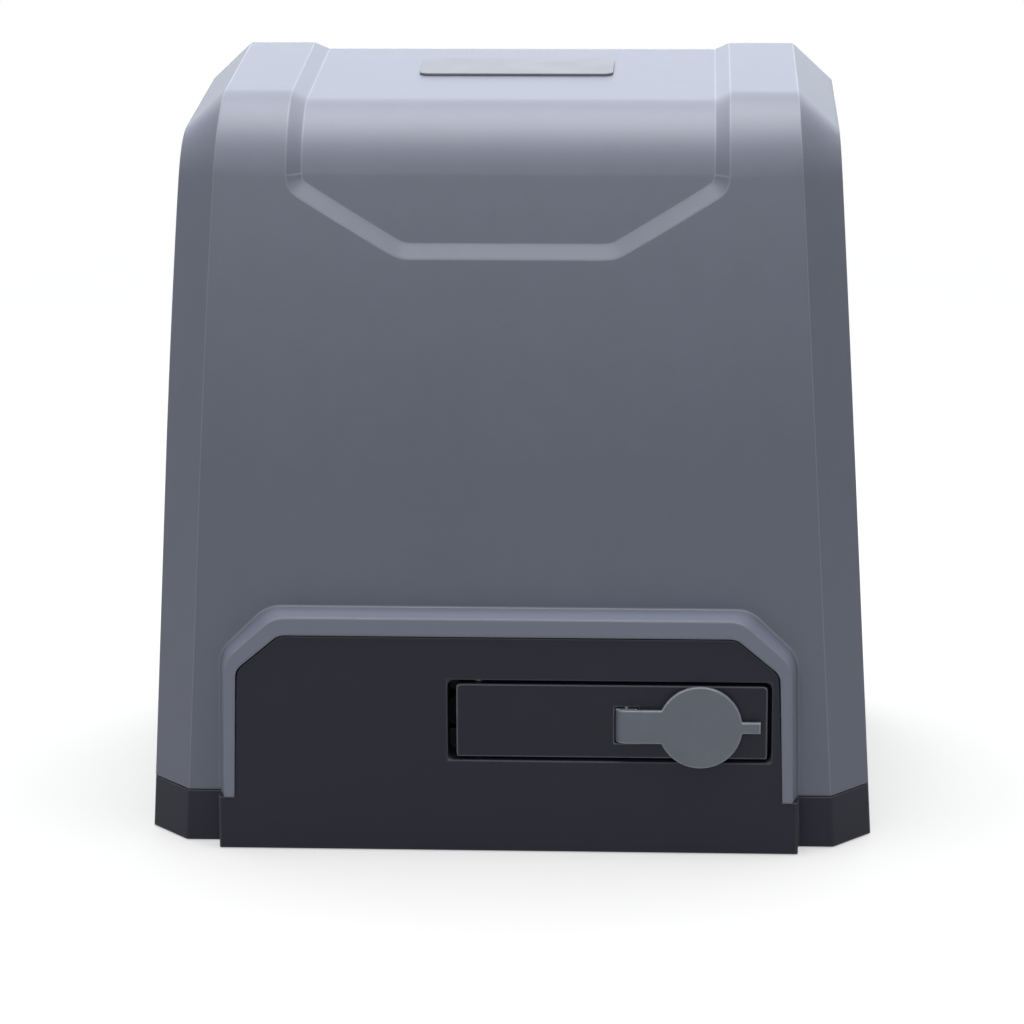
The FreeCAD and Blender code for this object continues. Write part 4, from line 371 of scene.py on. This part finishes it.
COVER_GREY = (0.116, 0.128, 0.170)
CHARCOAL = (0.0152, 0.0160, 0.0262)
# each edge factor below sets how much lighter a plastic's edges are painted, a painted highlight
# that is strongest on the lever's rim
FINISHES = {
    "cover_grey": textured_plastic("textured_grey_plastic", COVER_GREY, 0.5, edge=1.75,
                                   proud_highlight=1.36),
    "badge_grey": satin_plastic("satin_badge_plate", (0.155, 0.165, 0.19), 0.6, edge=1.2,
                                ease=0.0005, shine=0.3),
    "base_dark": textured_plastic("textured_charcoal_plastic", CHARCOAL, 0.5, depth=0.00003,
                                  edge=4.0, ease=0.0012, shine=0.22),
    "lever_dark": satin_plastic("satin_black_plastic", tint(CHARCOAL, 0.9), 0.45, edge=12.0,
                                ease=0.0009, shine=0.22),
    "cap_grey": satin_plastic("satin_grey_plastic", (0.116, 0.13, 0.163), 0.42, edge=2.6,
                              ease=0.0009),
    "seal_rubber": soft_rubber("foam_seal_rubber", (0.022, 0.022, 0.024)),
    "black_rubber": soft_rubber("black_rubber", (0.018, 0.018, 0.018)),
    "steel": turned_steel("turned_steel", (0.56, 0.56, 0.57), 0.24, OUTPUT, "y"),
    "zinc_steel": plated_steel("zinc_plated_steel", (0.43, 0.44, 0.44), 0.34),
    "blackened_steel": plated_steel("oil_blackened_steel", (0.012, 0.012, 0.014), 0.6),
    "spring_steel": plated_steel("oiled_spring_wire", (0.3, 0.3, 0.32), 0.28),
    "lock_chrome": turned_steel("nickel_lock_face", (0.66, 0.65, 0.62), 0.16, LOCK, "y"),
    "bronze": cast_metal("cut_bronze", (0.52, 0.33, 0.14), 0.28, 0.00005),
    "cast_aluminium": cast_metal("cast_aluminium", (0.55, 0.56, 0.57), 0.42),
    "gasket_paper": fibre_gasket("fibre_gasket", (0.16, 0.12, 0.08)),
    "shell_paint": painted_tube("black_tube_paint", (0.02, 0.02, 0.023)),
    "core_steel": laminated_steel("laminated_steel", (0.3, 0.3, 0.31), 0.0014, "z"),
    "copper": wound_copper("wound_copper", (0.6, 0.24, 0.1), 0.0012, "z"),
    "tray_plastic": satin_plastic("pale_tray_plastic", (0.42, 0.43, 0.44), 0.5),
    "board_green": circuit_board("green_circuit_board", (0.012, 0.11, 0.045)),
    "terminal_green": satin_plastic("green_terminal_plastic", (0.02, 0.22, 0.08), 0.38),
    "relay_blue": satin_plastic("blue_relay_case", (0.02, 0.07, 0.26), 0.28, coat=0.2),
    "chip_black": satin_plastic("black_part_case", (0.016, 0.016, 0.018), 0.45),
    "lamp_red": indicator("red_lamp_lens", (0.6, 0.03, 0.02)),
    "button_grey": satin_plastic("pale_button_plastic", (0.5, 0.5, 0.5), 0.4),
    "can_white": satin_plastic("white_capacitor_can", (0.6, 0.6, 0.58), 0.35),
    "spring_arm": plated_steel("sprung_arm_steel", (0.5, 0.5, 0.52), 0.25),
}


# ---------------------------------------------------------------- pieces
# points closer than WELD are one, faces bent by less than FLAT are one, and edges bent by
# more than CREASE stay sharp
WELD = 2e-6
FLAT = math.radians(0.15)
CREASE = math.radians(28)
# the widest rounding that an edge can ask for
WIDEST = 0.003
LEVER_BOX = [Vector(corner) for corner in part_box("release_lever")]


def as_piece(name, mesh, body, slot):
    """A finished mesh becomes a piece that rides on a body, in its slot's finish."""
    thing = bpy.data.objects.new(name, mesh)
    scene.collection.objects.link(thing)
    mesh.materials.clear()
    mesh.materials.append(FINISHES[slot])
    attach(thing, body)
    return thing


def baked_mesh(thing):
    """The mesh with its modifiers applied, as a plain mesh."""
    bpy.context.view_layer.update()
    shown = thing.evaluated_get(bpy.context.evaluated_depsgraph_get())
    return bpy.data.meshes.new_from_object(shown)


def clean_copy(node):
    """A welded copy of a frame node, its flat faces whole again."""
    mesh = frame["nodes"][node].data.copy()
    form = bmesh.new()
    form.from_mesh(mesh)
    bmesh.ops.remove_doubles(form, verts=form.verts, dist=WELD)
    bmesh.ops.dissolve_limit(form, angle_limit=FLAT, verts=form.verts, edges=form.edges)
    form.to_mesh(mesh)
    form.free()
    return mesh


def evenly_shaded(mesh):
    """The mesh smooth over its curves, with its large flats kept flat."""
    mesh.polygons.foreach_set("use_smooth", [True] * len(mesh.polygons))
    mesh.set_sharp_from_angle(angle=CREASE)
    thing = bpy.data.objects.new("shading", mesh)
    scene.collection.objects.link(thing)
    weighting = thing.modifiers.new("weighting", "WEIGHTED_NORMAL")
    weighting.mode = "FACE_AREA"
    weighting.weight = 80
    weighting.keep_sharp = True
    result = baked_mesh(thing)
    bpy.data.objects.remove(thing)
    return result


def edge_angles(form, limit):
    """The edges between two faces that turn by more than limit degrees."""
    return [e for e in form.edges if len(e.link_faces) == 2
            and e.calc_face_angle(0) > math.radians(limit)]


def softened(node, name, reach, limit=14, clamp=True):
    """Stands for a frame node with its edges rounded. reach gives the width of an edge's
    rounding in metres, for edges that turn by more than limit degrees."""
    mesh = clean_copy(node)
    form = bmesh.new()
    form.from_mesh(mesh)
    weights = form.edges.layers.float.new("bevel_weight_edge")
    for edge in edge_angles(form, limit):
        edge[weights] = reach(edge) / WIDEST
    form.to_mesh(mesh)
    form.free()
    thing = bpy.data.objects.new(name, mesh)
    scene.collection.objects.link(thing)
    rounding = thing.modifiers.new("rounding", "BEVEL")
    rounding.limit_method = "WEIGHT"
    rounding.offset_type = "WIDTH"
    rounding.width = WIDEST
    rounding.segments = 3
    rounding.use_clamp_overlap = clamp
    rounding.harden_normals = False
    result = baked_mesh(thing)
    bpy.data.objects.remove(thing)
    made = as_piece(name, evenly_shaded(result), BODY_OF[node], SLOT_OF[node])
    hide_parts(node)


def even(width):
    """The same rounding on every edge."""
    return lambda edge: width


def lever_reach(edge, corner=0.0035, ease=0.0005):
    """Round corners on the lever's own outline, a fine ease on the rest of its front."""
    ends = [vertex.co for vertex in edge.verts]
    middle = (ends[0] + ends[1]) / 2
    low, high = LEVER_BOX
    runs_back = abs(ends[0].y - ends[1].y) > 0.004
    at_end = min(middle.x - low.x, high.x - middle.x) < 0.001
    at_top_or_foot = min(middle.z - low.z, high.z - middle.z) < 0.0016
    if runs_back and at_end and at_top_or_foot:
        return corner
    in_front = max(end.y for end in ends) < low.y + 0.0035
    return ease if in_front and (at_end or at_top_or_foot) else 0.0


def base_reach(edge, corner=0.0045, ease=0.0005, skirt_corner=0.0014):
    """Round corners in the lever's pocket, eased corners on the front block and the skirt."""
    ends = [vertex.co for vertex in edge.verts]
    run = ends[1] - ends[0]
    middle = (ends[0] + ends[1]) / 2
    low, high = LEVER_BOX
    # the pocket's four corners lie just outside the lever's
    pocket_x = (low.x - 0.0036, high.x + 0.0017)
    pocket_z = (low.z - 0.0013, high.z + 0.0017)
    at_corner = (min(abs(middle.x - x) for x in pocket_x) < 0.0006
                 and min(abs(middle.z - z) for z in pocket_z) < 0.0022)
    if at_corner and middle.y < -0.085 and abs(run.y) > 0.01:
        return corner
    on_panel = middle.y < -0.0985 and abs(middle.x) < 0.1085
    if on_panel and 0.036 < middle.z < 0.074:
        return ease
    on_skirt = abs(middle.x) > 0.118 and middle.z < 0.0225
    return skirt_corner if on_skirt and abs(run.z) > 0.01 else 0.0


class Pattern:
    """A Geometry Nodes recipe with named sizes, for what repeats or follows a rule."""

    KINDS = {int: "NodeSocketInt", float: "NodeSocketFloat", tuple: "NodeSocketVector",
             bpy.types.Object: "NodeSocketObject"}

    def __init__(self, name, sizes):
        self.name = name
        self.sizes = sizes
        self.tree = bpy.data.node_groups.new(name, "GeometryNodeTree")
        self.tree.interface.new_socket("Geometry", in_out="OUTPUT",
                                       socket_type="NodeSocketGeometry")
        self.keys = {}
        for label, given in sizes.items():
            socket = self.tree.interface.new_socket(label, in_out="INPUT",
                                                    socket_type=self.KINDS[type(given)])
            self.keys[label] = socket.identifier

    def size(self, label):
        return self.node("NodeGroupInput", output=label)

    def node(self, kind, settings=None, inputs=None, output=0):
        """Any node: its type, its settings, then the values or links of its sockets. A list
        links several shapes to one socket."""
        made = self.tree.nodes.new(kind)
        for key, setting in (settings or {}).items():
            setattr(made, key, setting)
        for key, given in (inputs or {}).items():
            if isinstance(given, (bpy.types.NodeSocket, list)):
                for socket in given if isinstance(given, list) else [given]:
                    self.tree.links.new(socket, made.inputs[key])
            else:
                made.inputs[key].default_value = given
        return made.outputs[output] if made.outputs else None

    def math(self, operation, *values):
        return self.node("ShaderNodeMath", {"operation": operation}, dict(enumerate(values)))

    def ring(self, one, count, radius):
        """Copies of one shape set round a circle about the upright axis, each facing outwards."""
        circle = self.node("GeometryNodeMeshCircle", None, {"Vertices": count, "Radius": radius})
        index = self.node("GeometryNodeInputIndex")
        turn = self.math("MULTIPLY", index, self.math("DIVIDE", 2 * math.pi, count))
        facing = self.node("ShaderNodeCombineXYZ", None, {"Z": turn})
        return self.node("GeometryNodeInstanceOnPoints", None,
                         {"Points": circle, "Instance": one, "Rotation": facing})

    def row(self, one, count, start, step):
        """Copies of one shape in a straight row."""
        line = self.node("GeometryNodeMeshLine", {"mode": "OFFSET"},
                         {"Count": count, "Start Location": start, "Offset": step})
        return self.node("GeometryNodeInstanceOnPoints", None, {"Points": line, "Instance": one})

    def joined(self, shapes):
        return self.node("GeometryNodeJoinGeometry", None, {0: shapes})

    def moved(self, shape, to, turn=(0.0, 0.0, 0.0)):
        return self.node("GeometryNodeTransform", None,
                         {"Geometry": shape, "Translation": to, "Rotation": turn})

    def piece(self, shape, body, slot, ease=0.0):
        """Ends the recipe, runs it and gives the plain mesh as a piece that rides on a body."""
        real = self.node("GeometryNodeRealizeInstances", None, {"Geometry": shape})
        dressed = self.node("GeometryNodeSetMaterial", None,
                            {"Geometry": real, "Material": FINISHES[slot]})
        self.node("NodeGroupOutput", None, {0: dressed})
        carrier = bpy.data.objects.new(self.name, bpy.data.meshes.new(self.name))
        recipe = carrier.modifiers.new("recipe", "NODES")
        recipe.node_group = self.tree
        for label, key in self.keys.items():
            recipe[key] = self.sizes[label]
        scene.collection.objects.link(carrier)
        if ease:
            round_off = carrier.modifiers.new("round_off", "BEVEL")
            round_off.width = ease
            round_off.segments = 2
        result = baked_mesh(carrier)
        bpy.data.objects.remove(carrier)
        result.set_sharp_from_angle(angle=math.radians(35))
        return as_piece(self.name, result, body, slot)


for node, thing in frame["nodes"].items():
    thing.data.materials.clear()
    thing.data.materials.append(FINISHES[SLOT_OF[node]])

softened("cover", "cover_moulding", even(0.0012))
softened("base_housing", "base_moulding", base_reach, limit=20, clamp=False)
softened("release_lever", "lever_moulding", lever_reach, limit=40, clamp=False)
softened("keyhole_cap", "keyhole_cap_moulding", even(0.0005), limit=40, clamp=False)
softened("badge_plate", "blank_badge", even(0.0004))


# bare tube left above and below the cooling fins, and the pitch of the terminals and of the
# chip's legs
MOTOR_END = 0.007
TERMINAL_PITCH = 0.00508
LEG_PITCH = 0.00142


def motor_fins():
    """Cooling fins round the motor tube, clear of its two end castings."""
    low, high = (Vector(corner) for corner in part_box("motor_shell"))
    middle = (low + high) / 2
    radius = (high.x - low.x) / 2
    fins = Pattern("motor_fins", {"count": 40, "tube radius": radius, "fin depth": 0.0028,
                                  "fin width": 0.0016,
                                  "fin length": high.z - low.z - 2 * MOTOR_END,
                                  "centre": tuple(middle)})
    size = fins.node("ShaderNodeCombineXYZ", None,
                     {"X": fins.size("fin depth"), "Y": fins.size("fin width"),
                      "Z": fins.size("fin length")})
    fin = fins.node("GeometryNodeMeshCube", None, {"Size": size})
    # each fin's foot sinks a tenth of its depth into the tube
    seat = fins.math("ADD", fins.size("tube radius"),
                     fins.math("MULTIPLY", fins.size("fin depth"), 0.4))
    fins.piece(fins.moved(fins.ring(fin, fins.size("count"), seat), fins.size("centre")),
               BODY_OF["motor_shell"], "shell_paint", ease=0.0003)


def slotted_head(radius, height):
    """A small cheese head with its slot, facing the front. It only serves as a pattern."""
    slot_half = radius * 0.2
    form = bmesh.new()
    bmesh.ops.create_cone(form, cap_ends=True, segments=20, radius1=radius,
                          radius2=radius * 0.92, depth=height,
                          matrix=Matrix.Rotation(math.radians(90), 4, "X"))
    for side in (slot_half, -slot_half):
        bmesh.ops.bisect_plane(form, geom=form.verts[:] + form.edges[:] + form.faces[:],
                               plane_co=(0, 0, side), plane_no=(0, 0, 1))
    front = [v for v in form.verts if v.co.y < 0 and abs(v.co.z) < slot_half * 1.05]
    for vertex in front:
        vertex.co.y += height * 0.5
    mesh = bpy.data.meshes.new("slotted_head")
    form.to_mesh(mesh)
    form.free()
    return bpy.data.objects.new("slotted_head", mesh)


def terminal_screws():
    """A slotted screw in every well of the three terminal rows."""
    low, high = (Vector(corner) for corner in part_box("terminal_blocks"))
    # where each block begins, and how many ways it has
    rows = {"left": (0.0, 8), "middle": (0.05, 12), "right": (0.114, 8)}
    head = slotted_head(radius=0.00145, height=0.0012)
    sizes = {"head": head, "step": (TERMINAL_PITCH, 0.0, 0.0)}
    for label, (begins, ways) in rows.items():
        first = low.x + begins + TERMINAL_PITCH / 2
        sizes[label + " start"] = (first, low.y + 0.0014, low.z + 0.006)
        sizes[label + " ways"] = ways
    screws = Pattern("terminal_screws", sizes)
    one = screws.node("GeometryNodeObjectInfo", None, {"Object": screws.size("head")},
                      "Geometry")
    made = [screws.row(one, screws.size(label + " ways"), screws.size(label + " start"),
                       screws.size("step")) for label in rows]
    screws.piece(screws.joined(made), "frame", "zinc_steel")
    bpy.data.objects.remove(head)


def chip_legs():
    """Gull legs down both sides of the controller chip."""
    low, high = (Vector(corner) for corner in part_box("control_board"))
    leg_size = (0.0012, 0.0006, 0.0005)
    left, right, lowest = 0.0076, 0.0264, low.z + 0.0412
    seat = low.y - leg_size[1] / 2
    legs = Pattern("chip_legs", {"leg": leg_size, "count": 12,
                                 "left start": (left, seat, lowest),
                                 "right start": (right, seat, lowest),
                                 "step": (0.0, 0.0, LEG_PITCH)})
    leg = legs.node("GeometryNodeMeshCube", None, {"Size": legs.size("leg")})
    made = [legs.row(leg, legs.size("count"), legs.size(side + " start"), legs.size("step"))
            for side in ("left", "right")]
    legs.piece(legs.joined(made), "frame", "zinc_steel")


def clutch_coil():
    """The clutch spring as a true coil."""
    low, high = (Vector(corner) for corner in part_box("clutch_spring"))
    middle = (low + high) / 2
    wire, end_gap = 0.0012, 0.0002
    coil = Pattern("clutch_coil", {"wire radius": wire, "turns": 4.5,
                                   "coil radius": (high.x - low.x) / 2 - wire,
                                   "length": high.y - low.y - 2 * (wire + end_gap),
                                   "start": (middle.x, high.y - wire - end_gap, middle.z)})
    line = coil.node("GeometryNodeCurveSpiral", None,
                     {"Resolution": 40, "Rotations": coil.size("turns"),
                      "Start Radius": coil.size("coil radius"),
                      "End Radius": coil.size("coil radius"), "Height": coil.size("length")})
    section = coil.node("GeometryNodeCurvePrimitiveCircle", None,
                        {"Resolution": 10, "Radius": coil.size("wire radius")})
    wound = coil.node("GeometryNodeCurveToMesh", None,
                      {"Curve": line, "Profile Curve": section, "Fill Caps": True})
    made = coil.piece(coil.moved(wound, coil.size("start"), (math.pi / 2, 0.0, 0.0)),
                      BODY_OF["clutch_spring"], "spring_steel")
    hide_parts("clutch_spring")
    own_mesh(made)


motor_fins()
terminal_screws()
chip_legs()
clutch_coil()


# ---------------------------------------------------------------- floor, light and camera
def pale_ground(name, colour):
    """Near-white ground that keeps the object's shadow and fades to plain white far out."""
    f = Finish(name)
    shown = f.shown_rays()
    away = f.node("VectorMath", {"operation": "LENGTH"}, {0: f.place}, "Value")
    far = away.band(0.45, 1.1)
    f.set(Base_Color=f.blend(far, colour, (0.0, 0.0, 0.0)), Roughness=0.9)
    f.set(Emission_Strength=1.0, Specular_IOR_Level=0.0)
    glow = f.blend(far, (0.46, 0.46, 0.46), (1.0, 1.0, 1.0))
    f.set(Emission_Color=f.blend(shown, (0.0, 0.0, 0.0), glow))
    return f.block


def ground(half=6.0, drop=0.0005):
    """A wide floor just under the housing's foot."""
    mesh = bpy.data.meshes.new("studio_floor")
    form = bmesh.new()
    bmesh.ops.create_grid(form, x_segments=8, y_segments=8, size=half)
    form.to_mesh(mesh)
    form.free()
    mesh.transform(Matrix.Translation((0, 0, -drop)))
    mesh.materials.append(pale_ground("pale_studio_floor", (0.36, 0.36, 0.36)))
    thing = bpy.data.objects.new("studio_floor", mesh)
    scene.collection.objects.link(thing)


def lamp(name, at, aim, size, power, colour=(1.0, 1.0, 1.0)):
    """A soft box at one point that faces another."""
    light = bpy.data.lights.new(name, "AREA")
    light.color = colour
    light.shape = "RECTANGLE"
    light.size, light.size_y = size
    light.energy = power
    thing = bpy.data.objects.new(name, light)
    thing.location = at
    thing.rotation_euler = (Vector(aim) - Vector(at)).to_track_quat("-Z", "Y").to_euler()
    scene.collection.objects.link(thing)


def studio_world(fill=0.14):
    """White in view, and only a weak fill light."""
    f = Finish("studio_world", "worlds", "Background", "OutputWorld")
    f.set(Color=(1.0, 1.0, 1.0, 1.0), Strength=f.shown_rays() * (1 - fill) + fill)
    scene.world = f.block


def studio_camera(aim=(-0.0028, 0.005, 0.1130), distance=1.6, lens_length=130.4):
    """A long lens a little above the housing, turned a few degrees to its right."""
    turn, rise, roll = (math.radians(v) for v in (2.93, 16.8, -0.4))
    back = Vector((math.sin(turn) * math.cos(rise), -math.cos(turn) * math.cos(rise),
                   math.sin(rise)))
    right = Vector((math.cos(turn), math.sin(turn), 0))
    up = back.cross(right)
    across = right * math.cos(roll) + up * math.sin(roll)
    upward = up * math.cos(roll) - right * math.sin(roll)
    lens = bpy.data.cameras.new("studio_camera")
    lens.sensor_width = 36
    lens.lens = lens_length
    thing = bpy.data.objects.new("studio_camera", lens)
    pose = Matrix((across, upward, back)).transposed().to_4x4()
    pose.translation = Vector(aim) + back * distance
    thing.matrix_world = pose
    scene.collection.objects.link(thing)
    scene.camera = thing


ground()
studio_world()
studio_camera()
lamp("overhead_softbox", at=(0.0, 0.1, 1.4), aim=(0, 0, 0.2), size=(1.5, 1.1), power=38)
lamp("front_softbox", at=(-0.3, -2.2, 1.3), aim=(0, 0, 0.12), size=(1.8, 1.4), power=18)
lamp("rear_softbox", at=(0.0, 1.9, 0.85), aim=(0, 0, 0.25), size=(2.6, 0.9), power=19,
     colour=(0.86, 0.94, 1.0))
scene.view_settings.view_transform = "Standard"
